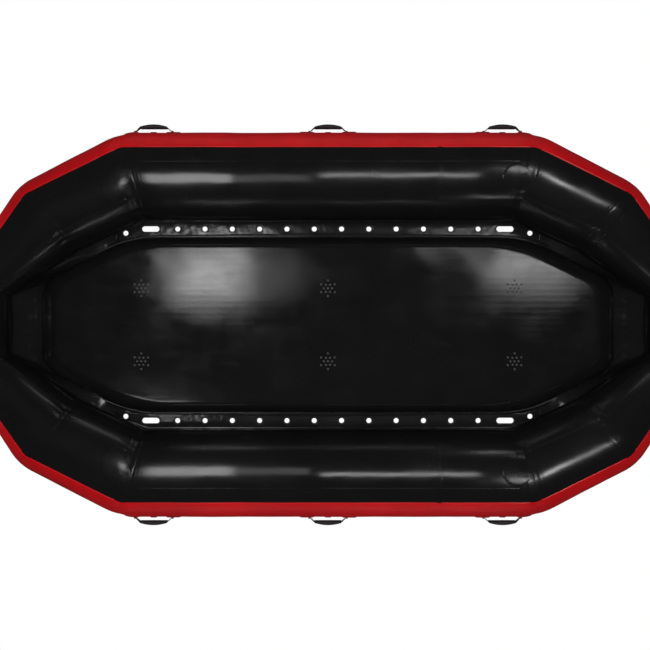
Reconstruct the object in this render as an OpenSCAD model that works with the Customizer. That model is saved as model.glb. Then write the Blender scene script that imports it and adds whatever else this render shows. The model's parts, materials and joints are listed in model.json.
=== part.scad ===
// Inflatable self-bailing dinghy. A ring of air tubes with straight sides and
// angled, rising, tapered ends carries an inflated floor on perforated strips.
// The origin is on the ground under the middle, bow along +X, port along +Y.

/* [Hull] */
// Length over the bow and stern tubes
hull_length = 3069; // [2800:1:3700]
// Beam over the side tubes
hull_beam = 1650; // [1400:1:1990]
// Diameter of the side tubes
tube_d = 375; // [315:1:450]
// Diameter at the knees, where the quarters bend inward
knee_d = 344; // [285:1:400]
// Diameter of the bow and stern tubes
end_d = 192; // [160:1:232]
// Length of the straight side tubes, along the axis
side_length = 1684; // [1404:1:2020]
// How far the knee's axis stands back from the end of the hull
knee_setback = 341.5; // [285:0.5:400]
// How far the knee's axis stands inboard of the side tube's axis
knee_inset = 187; // [155:1:225]
// Half the length of the bow or stern tube, along the axis
end_half = 152.2; // [127:0.1:183]
// Height of the knee's axis above the side tube's axis
knee_rise = 50; // [0:1:60]
// Height of the end tube's axis above the side tube's axis
end_rise = 110; // [90:1:132]
// Thickness of the coated fabric
fabric_t = 1.5; // [1.2:0.1:1.8]
// Half the angle of the coloured wrap around the outboard side
wrap_half = 60; // [50:1:66]

/* [Seams] */
// Width of the tapes over the angled tube joints
tape_w = 50; // [40:1:60]
// Thickness of a tape or a patch
tape_t = 1; // [0.8:0.1:1.2]
// Distance of the baffle and its girth tape from amidships
girth_x = 457; // [380:1:550]
// Width of the girth tape
girth_w = 16; // [12:1:20]
// Depth of the baffle's cone
baffle_h = 60; // [40:1:80]
// Round patches, bow and stern: distance from amidships
patch_x = [770, 873];
// Round patches, bow and stern: diameter
patch_d = [118, 134];
// Distance of the patches inboard of the tube's crest
patch_in = 39; // [30:1:48]

/* [Floor] */
// Height of the floor's widest line above the ground
floor_z = 80; // [75:1:90]
// Thickness of the floor when inflated
floor_t = 110; // [92:1:132]
// Width of the perforated strip between the side tube and the floor
strip_w = 93; // [78:1:111]
// How far the floor's corners stand beyond the ends of the side tubes
floor_corner = 43; // [35:1:50]
// Gap between the floor's end and the end of the hull, from above
floor_end_gap = 259.5; // [245:0.5:300]
// How far the floor's end edge reaches past the end tube's corner, to each side
floor_end_side = 46; // [38:1:54]
// Width of the floor's rounded shoulder at the sides, ends and corners
shoulders = [52, 97, 78];
// Spacing of the rows of drop threads inside the floor
stitch_pitch = 80; // [70:1:95]

/* [Bailing strip] */
// Thickness of the strips and skirts
strip_t = 2; // [1.6:0.1:2.4]
// Diameter of the bailing holes
hole_d = 22.5; // [19:0.5:27]
// Number of bailing holes along each side
hole_count = 12; // [10:2:12]
// Spacing of the bailing holes
hole_pitch = 122.6; // [100:0.1:125]
// Length of the lashing slots
slot_length = 77; // [64:1:92]
// Width of the lashing slots
slot_w = 24.5; // [20:0.5:29]
// Distance of the lashing slots from amidships
slot_x = 795; // [780:1:800]
// Distance of the slots and holes from the floor's side edge
slot_in = 39; // [35:1:45]
// Distance of the corner holes from amidships and from the centre line
corner_hole = [907, 411];

/* [Grip studs] */
// Diameter of a stud
stud_d = 9; // [7.5:0.5:10.5]
// Height of a stud
stud_h = 1.2; // [1:0.1:1.5]
// Radii of the two rings of studs in a cluster
stud_rings = [18, 34.5];
// Distance of the outer clusters from amidships
stud_x = 823; // [690:1:830]
// Distance of the clusters from the centre line
stud_y = 161; // [134:1:193]

/* [Handles] */
// Distance of the outer side handles from amidships
handle_x = 755; // [700:1:780]
// Length of the grip
grip_length = 116; // [100:1:120]
// Thickness of the grip, measured outward
grip_t = 20; // [17:1:24]
// Height of the grip
grip_h = 32; // [30:1:38]
// Distance of the grip's middle from the tube
grip_out = 33; // [30:1:40]
// How much the grip bows outward over its length
grip_bow = 5; // [4:0.5:6]
// Half the span between the two ends of the strap
strap_half = 78; // [72:1:84]
// Width of the strap
strap_w = 24; // [20:1:24]
// Thickness of the strap
strap_t = 3; // [2.5:0.1:3.2]
// Distance of the strap's fold line from the tube
fold_out = 12; // [10:1:14]
// Width, height and thickness of a base pad
pad_size = [60, 70, 3];
// Width, reach, height and thickness of the small lifeline loop
loop_size = [28, 10, 12, 2.5];

/* [Valves] */
// Outer radius of the valve's flange
flange_r = 29; // [28:0.5:30]
// Outer radius of the valve's sleeve
sleeve_r = 18; // [15:0.5:18.5]
// Thickness of the flange
flange_t = 4; // [3:0.5:4]
// Depth of the sleeve below the flange
sleeve_h = 34; // [30:1:36]
// Thickness of the pad under the flange
valve_pad_t = 1.5; // [1.2:0.1:1.8]
// Travel of the poppet
poppet_travel = 6; // [5:0.5:7]

/* [Hidden] */
$fn = 64;
VALVES = ["bow", "stern", "floor"];
SIDE_PLACES = [["stern", -handle_x], ["mid", 0], ["bow", handle_x]];

// Air gap between pieces that lie on each other, and between pieces that slide
seat_gap = 0.3;
run_gap = 0.05;
// Gaps from the quarter tube to the strip, from the tube and the floor to the edges of a skirt,
// and from the strip's end to the skirt
strip_gap = 1;
edge_gap = 1.6;
end_gap = 1.7;
angle_step = 6;
far = 2000;

tube_r = tube_d / 2;
// Corners of one quarter's axis, from the side tube to the end tube
C = [[side_length / 2, hull_beam / 2 - tube_r, tube_r],
     [hull_length / 2 - knee_setback, hull_beam / 2 - tube_r - knee_inset, tube_r + knee_rise],
     [hull_length / 2 - end_d / 2, end_half, tube_r + end_rise]];
R = [tube_r, knee_d / 2, end_d / 2];
// Directions of the four tubes that meet at those corners, and the joint planes between them
D = [[1, 0, 0], unit(C[1] - C[0]), unit(C[2] - C[1]), [0, -1, 0]];
N = [for (k = [0 : 2]) unit(D[k] + D[k + 1])];
// Horizontal outboard direction in each joint plane, and the tube that sets its ring
H = [for (k = [0 : 2]) unit([-N[k].y, N[k].x, 0])];
T = [D[0], D[1], D[3]];

// Angle around the tube at which the floor's strips and skirts are glued on
lap = 180 + asin((tube_r - floor_z) / tube_r);
floor_side = C[0].y - sqrt(pow(tube_r, 2) - pow(tube_r - floor_z, 2)) - strip_w;
floor_end = hull_length / 2 - floor_end_gap;
floor_end_y = end_half + floor_end_side;
floor_corner_x = C[0].x + floor_corner;
OUTLINE = [[floor_corner_x, floor_side], [floor_end, floor_end_y],
           [floor_end, -floor_end_y], [floor_corner_x, -floor_side],
           [-floor_corner_x, -floor_side], [-floor_end, -floor_end_y],
           [-floor_end, floor_end_y], [-floor_corner_x, floor_side]];
RUNS = [for (i = [0 : 7]) shoulders[[2, 1, 2, 0][i % 4]]];
// Share of the quarter's first tube along which the strip stays flat
strip_end = 0.42;

HANDLES = concat(
    [for (p = SIDE_PLACES) [str("port_", p[0]), [p[1], hull_beam / 2, tube_r], 0, tube_r]],
    [for (p = SIDE_PLACES) [str("starboard_", p[0]), [p[1], -hull_beam / 2, tube_r], 180, tube_r]],
    [["bow", [hull_length / 2, 0, C[2].z], -90, R[2]],
     ["stern", [-hull_length / 2, 0, C[2].z], 90, R[2]]]);
grip_r = (pow(grip_length / 2, 2) + pow(grip_bow, 2)) / (2 * grip_bow);
grip_angle = asin(grip_length / 2 / grip_r);

// The valve, with its own Z outward from the pad's top
mouth_r = sleeve_r - 3.5;
seat_r = mouth_r - 4;
seat_t = 3;
stem_r = 2;
button_z = [-6, -2];
button_r = 6;
hub_r = 5;
// The hub stands below the button by the travel and the height of the closed coil
hub_top = button_z[0] - poppet_travel - 8;
hub_z = [hub_top - 4, hub_top];
disc_r = seat_r + 2.5;
disc_t = 3;
nut_t = 4.7;
cap_r = flange_r - 9;
cap_t = 3;
cap_hinge = [5 - flange_r, 7];
hinge_pin_r = 1.2;
barrel_r = 2.5;
barrel_half = 5;
spring_r = 4.2;
spring_wire = 0.5;
spring_turns = 4;

function unit(v) = v / norm(v);
function lerp(a, b, s) = a * (1 - s) + b * s;
function steps(a, b, n) = [for (i = [0 : n]) lerp(a, b, i / n)];
function turns(a, b) = steps(a, b, ceil(abs(b - a) / angle_step));

// Point on a tube's skin in joint plane k, at angle a up from outboard, off above the skin
function ring(k, a, off = 0) = let (
    e = cos(a) * H[k] + [0, 0, sin(a)],
    p = e - N[k] * (e * N[k]),
    q = norm(p - T[k] * (p * T[k])))
    C[k] + p * ((R[k] + off) / q);

// Point on a quarter's skin, a share s of the way from joint plane k to the next
function skin(k, s, a, off = 0) = lerp(ring(k, a, off), ring(k + 1, a, off), s);

// Angle at which the quarter's first tube passes the height of the strip's top: the tube's depth
// below its axis at the lap gives the radius that it has in this upright section
function strip_angle(s) = let (
    axis_z = lerp(C[0].z, C[1].z, s),
    section_r = (axis_z - skin(0, s, lap).z) / sin(lap - 180))
    180 + asin((axis_z - floor_z - strip_t / 2) / section_r);
function plan(p) = [p.x, p.y];

// Closed solid between two grids of points, with rows along it and columns across it
module slab(a, b) {
    m = len(a);
    n = len(a[0]);
    function at(g, i, j) = (g * m + i) * n + j;
    function quad(p, q, r, s) = [[p, q, r], [p, r, s]];
    polyhedron(concat([for (row = a) each row], [for (row = b) each row]), [
        for (i = [0 : m - 2], j = [0 : n - 2]) each concat(
            quad(at(0, i, j), at(0, i, j + 1), at(0, i + 1, j + 1), at(0, i + 1, j)),
            quad(at(1, i, j), at(1, i + 1, j), at(1, i + 1, j + 1), at(1, i, j + 1))),
        for (i = [0 : m - 2]) each concat(
            quad(at(0, i, 0), at(0, i + 1, 0), at(1, i + 1, 0), at(1, i, 0)),
            quad(at(0, i, n - 1), at(1, i, n - 1), at(1, i + 1, n - 1), at(0, i + 1, n - 1))),
        for (j = [0 : n - 2]) each concat(
            quad(at(0, 0, j), at(1, 0, j), at(1, 0, j + 1), at(0, 0, j + 1)),
            quad(at(0, m - 1, j), at(0, m - 1, j + 1), at(1, m - 1, j + 1), at(1, m - 1, j)))
    ]);
}

// Everything on the far side of a plane
module beyond(c, n) {
    translate(c)
        rotate([0, -asin(n.z), atan2(n.y, n.x)])
            translate([0, -far / 2, -far / 2]) cube(far);
}

// Part of a tube's wall from angle a to b, along +Z
module wall(r, length, a, b, t = fabric_t) {
    rotate([0, 0, a])
        rotate_extrude(angle = b - a, $fn = 128)
            translate([r - t, 0]) square([t, length]);
}

module side_wall(a, b) {
    difference() {
        translate([-C[0].x - tube_r, C[0].y, C[0].z])
            rotate([90, 0, 90]) wall(tube_r, side_length + tube_d, a, b);
        beyond(C[0], N[0]);
        mirror([1, 0, 0]) beyond(C[0], N[0]);
    }
}

module quarter_wall(a, b) {
    function grid(off) = [for (k = [0 : 2]) [for (t = turns(a, b)) ring(k, t, off)]];
    slab(grid(-fabric_t), grid(0));
}

module end_wall(a, b) {
    difference() {
        translate([C[2].x, end_half + end_d, C[2].z])
            rotate([90, 0, 0]) wall(R[2], 2 * (end_half + end_d), a, b);
        beyond(C[2], -N[2]);
        mirror([0, 1, 0]) beyond(C[2], -N[2]);
    }
}

module on_port() { children(); }
module on_starboard() { mirror([0, 1, 0]) children(); }
module at_stern() { mirror([1, 0, 0]) children(); }
module four_ways() { for (x = [0, 1], y = [0, 1]) mirror([x, 0, 0]) mirror([0, y, 0]) children(); }

module black_side() { color("#131315") side_wall(wrap_half, 360 - wrap_half); }
module black_quarter() { color("#131315") quarter_wall(wrap_half, 360 - wrap_half); }
module black_end() {
    color("#131315") difference() {
        end_wall(wrap_half, 360 - wrap_half);
        place_valve(0) cylinder(r = sleeve_r + seat_gap, h = far, center = true);
    }
}
module red_side() { color("#a81a20") side_wall(-wrap_half, wrap_half); }
module red_quarter() { color("#a81a20") quarter_wall(-wrap_half, wrap_half); }
module red_end() { color("#a81a20") end_wall(-wrap_half, wrap_half); }

module side_tube_port() { on_port() black_side(); }
module side_tube_starboard() { on_starboard() black_side(); }
module bow_quarter_port() { on_port() black_quarter(); }
module bow_quarter_starboard() { on_starboard() black_quarter(); }
module stern_quarter_port() { at_stern() on_port() black_quarter(); }
module stern_quarter_starboard() { at_stern() on_starboard() black_quarter(); }
module bow_tube() { black_end(); }
module stern_tube() { at_stern() black_end(); }
module side_wrap_port() { on_port() red_side(); }
module side_wrap_starboard() { on_starboard() red_side(); }
module bow_quarter_wrap_port() { on_port() red_quarter(); }
module bow_quarter_wrap_starboard() { on_starboard() red_quarter(); }
module stern_quarter_wrap_port() { at_stern() on_port() red_quarter(); }
module stern_quarter_wrap_starboard() { at_stern() on_starboard() red_quarter(); }
module bow_wrap() { red_end(); }
module stern_wrap() { at_stern() red_end(); }

// Tapes over the joint planes, on the black skin from the wrap to just above the skirts
tape_off = 0.4;
tape_turns = turns(wrap_half, lap - 10);

module knee_tape(k) {
    before = tape_w / 2;
    function row(p, shift, off) = [for (t = tape_turns) p(t, off) + shift];
    function grid(off) = [
        k == 0 ? row(function(t, o) ring(0, t, o), -D[0] * before, off)
               : row(function(t, o) skin(k - 1, 1 - before / norm(C[k] - C[k - 1]), t, o), [0, 0, 0], off),
        row(function(t, o) ring(k, t, o), [0, 0, 0], off),
        k == 2 ? row(function(t, o) ring(2, t, o), D[3] * before, off)
               : row(function(t, o) skin(k, before / norm(C[k + 1] - C[k]), t, o), [0, 0, 0], off)];
    slab(grid(tape_off), grid(tape_off + tape_t));
}

module joint_tapes() { color("#161618") four_ways() for (k = [0 : 2]) knee_tape(k); }

module girth_tapes() {
    color("#161618")
        for (side = [0, 1]) mirror([0, side, 0])
            translate([girth_x - girth_w / 2, C[0].y, C[0].z])
                rotate([90, 0, 90])
                    wall(tube_r + seat_gap + tape_t, girth_w, wrap_half, lap - 10, tape_t);
}

// Round patches that lie over the edge of the tapes
module crest_layer(low, high) {
    before = D[0] * patch_d[0] * 2;
    angles = turns(60, 150);
    function grid(off) = [[for (t = angles) ring(0, t, off) - before],
                          [for (t = angles) ring(0, t, off)],
                          [for (t = angles) skin(0, 0.5, t, off)]];
    slab(grid(low), grid(high));
}

module round_patches() {
    low = tape_off + tape_t + seat_gap;
    color("#18181a")
        for (end = [0, 1], side = [0, 1]) mirror([end, 0, 0]) mirror([0, side, 0])
            intersection() {
                crest_layer(low, low + tape_t);
                translate([patch_x[end], C[0].y - patch_in, 0])
                    cylinder(d = patch_d[end], h = 3 * tube_d);
            }
}

// Shallow cones inside the side tubes that part the fore chamber from the aft one
module baffles() {
    r = tube_r - fabric_t - seat_gap;
    color("#3a3a3e")
        for (side = [0, 1]) mirror([0, side, 0])
            translate([girth_x, C[0].y, C[0].z])
                rotate([0, 90, 0]) rotate_extrude($fn = 128)
                    polygon([[0, baffle_h], [r, 0], [r, -fabric_t], [0, baffle_h - fabric_t]]);
}

// Upper half of the floor: the outline, cut down along its eight shoulders
module pad_half(inset) {
    h = floor_t / 2;
    under = inset > 0 ? 1 : 0;
    difference() {
        translate([0, 0, -under]) linear_extrude(h - inset + under) polygon(OUTLINE);
        for (i = [0 : 7]) let (p = OUTLINE[i], q = OUTLINE[(i + 1) % 8], mid = (p + q) / 2, u = unit(q - p))
            translate([mid.x, mid.y, 0])
                rotate([0, atan(h / RUNS[i]), atan2(u.x, -u.y)])
                    translate([-far, -far, -inset]) cube([2 * far, 2 * far, far]);
    }
}

module floor_skin() {
    difference() {
        pad_half(0);
        pad_half(fabric_t);
    }
}

module floor_top_skin() { color("#121214") translate([0, 0, floor_z]) floor_skin(); }
module floor_bottom_skin() {
    color("#121214") difference() {
        translate([0, 0, floor_z]) mirror([0, 0, 1]) floor_skin();
        place_valve(2) cylinder(r = sleeve_r + seat_gap, h = 2 * flange_r, center = true);
    }
}

// Rows of threads that hold the two skins of the floor parallel
module drop_stitch_rows() {
    rows = floor((floor_side - shoulders[0]) / stitch_pitch);
    half_h = floor_t / 2 - fabric_t - seat_gap;
    color("#d8d6cf")
        for (i = [-rows : rows]) let (
            y = i * stitch_pitch,
            share = max(0, (abs(y) + stitch_pitch / 2 - floor_end_y) / (floor_side - floor_end_y)),
            half_l = lerp(floor_end, floor_corner_x, min(1, share)) - shoulders[1] - shoulders[2])
            translate([-half_l, y - 0.5, floor_z - half_h]) cube([2 * half_l, 1, 2 * half_h]);
}

// Clusters of thirteen studs: one in the middle, six close to it and six in the corners
module grip_studs() {
    spots = concat([[0, 0]],
        [for (i = [0 : 5]) stud_rings[0] * [cos(60 * i), sin(60 * i)]],
        [for (i = [0 : 5]) stud_rings[1] * [cos(60 * i + 30), sin(60 * i + 30)]]);
    color("#3c3c40")
        for (x = [-stud_x, 0, stud_x], y = [-stud_y, stud_y], s = spots)
            translate([x + s.x, y + s.y, floor_z + floor_t / 2]) cylinder(d = stud_d, h = stud_h, $fn = 24);
}

// Point on the floor's corner edge at a distance along the boat, off outside the edge
function corner_edge(s, off) = let (
    p = lerp(OUTLINE[0], OUTLINE[1], s), u = unit(OUTLINE[1] - OUTLINE[0]))
    p + off * [-u.y, u.x];
strip_last = plan(skin(0, strip_end, strip_angle(strip_end), strip_gap));
corner_start = (strip_last.x - floor_corner_x) / (floor_end - floor_corner_x);

module drain_strip() {
    top = tube_r - floor_z - strip_t / 2;
    straight_y = C[0].y - sqrt(pow(tube_r, 2) - pow(top, 2)) - seat_gap;
    quarter = concat(
        [[ring(0, lap).x - 4, straight_y]],
        [for (s = steps(0.04, strip_end, 4)) plan(skin(0, s, strip_angle(s), strip_gap))],
        [corner_edge(corner_start, seat_gap), [floor_corner_x, floor_side + seat_gap]]);
    outline = concat(quarter, [for (i = [len(quarter) - 1 : -1 : 0]) [-quarter[i].x, quarter[i].y]]);
    slot_y = floor_side + slot_in;
    color("#151517")
        difference() {
            translate([0, 0, floor_z - strip_t / 2])
                linear_extrude(strip_t) polygon(outline);
            for (i = [0 : hole_count - 1])
                translate([(i - (hole_count - 1) / 2) * hole_pitch, slot_y, 0]) cylinder(d = hole_d, h = far);
            for (side = [-1, 1]) {
                translate([side * corner_hole.x, corner_hole.y, 0]) cylinder(d = hole_d, h = far);
                for (end = [-1, 1])
                    translate([side * slot_x + end * (slot_length - slot_w) / 2, slot_y, 0])
                        cylinder(d = slot_w, h = far);
                translate([side * slot_x - (slot_length - slot_w) / 2, slot_y - slot_w / 2, 0])
                    cube([slot_length - slot_w, slot_w, far]);
            }
        }
}

module drain_strip_port() { on_port() drain_strip(); }
module drain_strip_starboard() { on_starboard() drain_strip(); }

// Skirt from the floor's corner and end edges up to the quarter and end tubes.
// Each row is a pair of points, on the tube and on the floor.
function at_floor(p) = [p.x, p.y, floor_z];
skirt_start = strip_end + end_gap / norm(C[1] - C[0]);
skirt_corner = corner_start + end_gap / norm(OUTLINE[1] - OUTLINE[0]);
skirt_quarter = concat(
    [for (i = [0 : 3])
        [skin(0, lerp(skirt_start, 1, i / 3), lerp(strip_angle(strip_end), lap, i / 3), edge_gap),
         at_floor(corner_edge(lerp(skirt_corner, 0.5, i / 3), edge_gap))]],
    [for (i = [1, 2]) [skin(1, i / 3, lap, edge_gap),
                       at_floor(corner_edge(0.5 + i / 4, edge_gap))]],
    [[ring(2, lap, edge_gap), [floor_end + edge_gap, ring(2, lap).y, floor_z]]]);
skirt_rows = concat(skirt_quarter,
    [for (i = [len(skirt_quarter) - 1 : -1 : 0]) [for (p = skirt_quarter[i]) [p.x, -p.y, p.z]]]);
function skirt_normal(i) = let (
    a = skirt_rows[max(0, i - 1)], b = skirt_rows[min(len(skirt_rows) - 1, i + 1)])
    unit(cross(b[0] + b[1] - a[0] - a[1], skirt_rows[i][0] - skirt_rows[i][1]));
function skirt_grid(off) = [for (i = [0 : len(skirt_rows) - 1])
    [for (p = skirt_rows[i]) p + off * skirt_normal(i)]];

module skirt() { color("#151517") slab(skirt_grid(-strip_t / 2), skirt_grid(strip_t / 2)); }
module bow_skirt() { skirt(); }
module stern_skirt() { at_stern() skirt(); }

// Puts a valve on the crest of the bow tube, of the stern tube, or under the floor's stern end
module place_valve(i) {
    slope = atan(floor_t / 2 / shoulders[1]);
    if (i < 2)
        rotate([0, 0, 180 * i]) translate([C[2].x, 0, C[2].z + R[2] + valve_pad_t]) children();
    else
        translate([shoulders[1] / 2 - floor_end, 0, floor_z - floor_t / 4])
            rotate([0, 180 + slope, 0]) rotate([0, 0, 180])
                translate([0, 0, valve_pad_t]) children();
}

module valve_pads() {
    color("#1b1b1d")
        for (i = [0 : 2]) place_valve(i) difference() {
            translate([0, 0, i < 2 ? -valve_pad_t - 8 : -valve_pad_t])
                cylinder(r = flange_r + 3, h = i < 2 ? valve_pad_t + 8 : valve_pad_t);
            cylinder(r = sleeve_r + seat_gap, h = far, center = true);
            if (i < 2)
                translate([0, 0, -valve_pad_t - R[2]])
                    rotate([90, 0, 0]) cylinder(r = R[2] + seat_gap, h = far, center = true, $fn = 128);
        }
}

module valve_body() {
    difference() {
        union() {
            cylinder(r = flange_r, h = flange_t);
            translate([0, 0, -sleeve_h]) cylinder(r = sleeve_r, h = sleeve_h + 1);
        }
        translate([0, 0, seat_t - sleeve_h]) cylinder(r = mouth_r, h = far);
        cylinder(r = seat_r, h = far, center = true);
    }
    translate([0, 0, hub_z[0]]) difference() {
        union() {
            cylinder(r = hub_r, h = hub_z[1] - hub_z[0]);
            for (a = [0 : 120 : 240]) rotate([0, 0, a])
                translate([0, -1.5, 0]) cube([mouth_r + 1, 3, hub_z[1] - hub_z[0]]);
        }
        cylinder(r = stem_r + run_gap, h = far, center = true);
    }
    for (side = [-1, 1])
        translate([cap_hinge.x - barrel_r, side * (barrel_half + seat_gap + 1.3) - 1.3, flange_t - 0.5])
            cube([2 * barrel_r, 2.6, cap_hinge.y + barrel_r - flange_t + 0.5]);
    translate([cap_hinge.x, 0, cap_hinge.y])
        rotate([90, 0, 0]) cylinder(r = hinge_pin_r, h = 2 * barrel_half + 3, center = true);
}

module valve_bodies() { color("#26262a") for (i = [0 : 2]) place_valve(i) valve_body(); }

// Clamping ring inside the tube; on a curved tube it bears at its rim
module valve_nuts() {
    rim = flange_r - 2;
    sag = R[2] - fabric_t - sqrt(pow(R[2] - fabric_t, 2) - pow(rim, 2));
    color("#26262a")
        for (i = [0 : 2]) place_valve(i)
            translate([0, 0, -valve_pad_t - fabric_t - seat_gap - nut_t - (i < 2 ? sag : 0)])
                difference() {
                    cylinder(r = rim, h = nut_t);
                    cylinder(r = sleeve_r + 0.2, h = far, center = true);
                }
}

module valve_cap() {
    plug_r = mouth_r - 1;
    low = flange_t + seat_gap;
    difference() {
        union() {
            translate([0, 0, low]) cylinder(r = cap_r, h = cap_t);
            translate([0, 0, 1]) difference() {
                cylinder(r = plug_r, h = low);
                cylinder(r = plug_r - 2, h = far, center = true);
            }
            translate([-12, -2, low + cap_t - 0.5]) cube([24, 4, 3.5]);
            translate([cap_hinge.x, 0, cap_hinge.y])
                rotate([90, 0, 0]) cylinder(r = barrel_r, h = 2 * barrel_half, center = true);
            translate([cap_hinge.x, -barrel_half, low + 0.4])
                cube([-cap_hinge.x - cap_r + 6, 2 * barrel_half, cap_t - 0.6]);
        }
        translate([cap_hinge.x, 0, cap_hinge.y])
            rotate([90, 0, 0]) cylinder(r = hinge_pin_r + run_gap, h = far, center = true);
    }
}

module valve_poppet() {
    translate([0, 0, -sleeve_h - seat_gap - disc_t]) cylinder(r = disc_r, h = disc_t);
    translate([0, 0, -sleeve_h - seat_gap - 1]) cylinder(r = stem_r, h = sleeve_h + button_z[0] + 2);
    translate([0, 0, button_z[0]]) cylinder(r = button_r, h = button_z[1] - button_z[0]);
}

// Coil between the hub and the button, as one swept tube with closed ends
module valve_spring() {
    sides = 6;
    per_turn = 12;
    rings = spring_turns * per_turn;
    low = hub_z[1] + spring_wire + 0.1;
    high = button_z[0] - spring_wire - 0.1;
    points = [for (i = [0 : rings], j = [0 : sides - 1]) let (
        a = 360 * i / per_turn, b = 360 * j / sides, r = spring_r + spring_wire * cos(b))
        [r * cos(a), r * sin(a), lerp(low, high, i / rings) + spring_wire * sin(b)]];
    polyhedron(points, concat(
        [for (i = [0 : rings - 1], j = [0 : sides - 1]) let (
            a = i * sides + j, b = i * sides + (j + 1) % sides) each [[a, b, b + sides], [a, b + sides, a + sides]]],
        [[for (j = [sides - 1 : -1 : 0]) j], [for (j = [0 : sides - 1]) rings * sides + j]]));
}

// Puts a handle on its tube, with its own X along the tube and Y outward
module place_handle(h) { translate(h[1]) rotate([0, 0, h[2]]) children(); }

module handle_bases() {
    lug_r = 4.5;
    color("#8c161b")
        for (h = HANDLES, side = [0, 1]) place_handle(h) mirror([side, 0, 0]) {
            r = h[3];
            half = asin(pad_size[1] / 2 / r);
            translate([strap_half - 16, -r, 0])
                rotate([90, 0, 90]) wall(r + seat_gap + pad_size[2], pad_size[0], -half, half, pad_size[2]);
            translate([strap_half + seat_gap, 0, 0]) {
                translate([0, fold_out, 0]) rotate([0, 90, 0]) cylinder(r = lug_r, h = 8);
                translate([0, pad_size[2] / 2, -lug_r]) cube([8, fold_out - pad_size[2] / 2, 2 * lug_r]);
            }
        }
}

module lifeline_loops() {
    color("#8c161b")
        for (h = HANDLES) place_handle(h)
            translate([-loop_size[0] / 2, seat_gap, -loop_size[2] / 2])
                difference() {
                    cube([loop_size[0], loop_size[1] - seat_gap, loop_size[2]]);
                    translate([loop_size[3], -1, -1])
                        cube([loop_size[0] - 2 * loop_size[3],
                              loop_size[1] - seat_gap - loop_size[3] + 1, loop_size[2] + 2]);
                }
}

// Band that follows the grip's arc, of thickness t and height h
module grip_arc(t, h, angle) {
    translate([0, grip_out - grip_r, -h / 2])
        rotate([0, 0, 90 - angle])
            rotate_extrude(angle = 2 * angle, $fn = 256)
                translate([grip_r - t / 2, 0]) square([t, h]);
}

module strap() {
    end_w = 2 * fold_out - 12;
    grip_end = [grip_length / 2, grip_out - grip_bow];
    fold = [strap_half, fold_out];
    u = unit(fold - grip_end);
    side = [-u.y, u.x] * strap_t / 2;
    color("#1c1c1f")
        union() {
            grip_arc(strap_t, strap_w, grip_angle + 0.4);
            for (m = [0, 1]) mirror([m, 0, 0])
                intersection() {
                    translate([0, 0, -strap_w / 2]) linear_extrude(strap_w)
                        polygon([grip_end + side, grip_end - side, fold - side, fold + side]);
                    rotate([-90, 0, 0]) linear_extrude(far)
                        polygon([[0, -strap_w / 2], [grip_end.x, -strap_w / 2], [strap_half, -end_w / 2],
                                 [strap_half, end_w / 2], [grip_end.x, strap_w / 2], [0, strap_w / 2]]);
                }
        }
}

module grip() {
    color("#34343a")
        difference() {
            translate([0, grip_out - grip_r, 0])
                rotate([0, 0, 90 - grip_angle])
                    rotate_extrude(angle = 2 * grip_angle, $fn = 256)
                        translate([grip_r, 0]) {
                            for (end = [-1, 1])
                                translate([0, end * (grip_h - grip_t) / 2]) circle(d = grip_t, $fn = 48);
                            square([grip_t, grip_h - grip_t], center = true);
                        }
            grip_arc(strap_t + 2 * seat_gap, strap_w + 2 * seat_gap, grip_angle + 1);
        }
}

side_tube_port();
side_tube_starboard();
bow_quarter_port();
bow_quarter_starboard();
stern_quarter_port();
stern_quarter_starboard();
bow_tube();
stern_tube();
side_wrap_port();
side_wrap_starboard();
bow_quarter_wrap_port();
bow_quarter_wrap_starboard();
stern_quarter_wrap_port();
stern_quarter_wrap_starboard();
bow_wrap();
stern_wrap();
joint_tapes();
girth_tapes();
round_patches();
baffles();
floor_top_skin();
floor_bottom_skin();
drop_stitch_rows();
grip_studs();
drain_strip_port();
drain_strip_starboard();
bow_skirt();
stern_skirt();
valve_pads();
valve_bodies();
valve_nuts();
for (i = [0 : len(VALVES) - 1]) {
    color("#26262a") place_valve(i) valve_cap();
    color("#c8c4b8") place_valve(i) valve_poppet();
    color("#b4b6ba") place_valve(i) valve_spring();
}
handle_bases();
lifeline_loops();
for (h = HANDLES) {
    place_handle(h) strap();
    place_handle(h) grip();
}
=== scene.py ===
"""Looks of an inflatable self-bailing dinghy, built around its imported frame."""

import json
import math

import bpy
import numpy as np
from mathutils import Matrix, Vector
from mathutils.geometry import delaunay_2d_cdt

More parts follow.
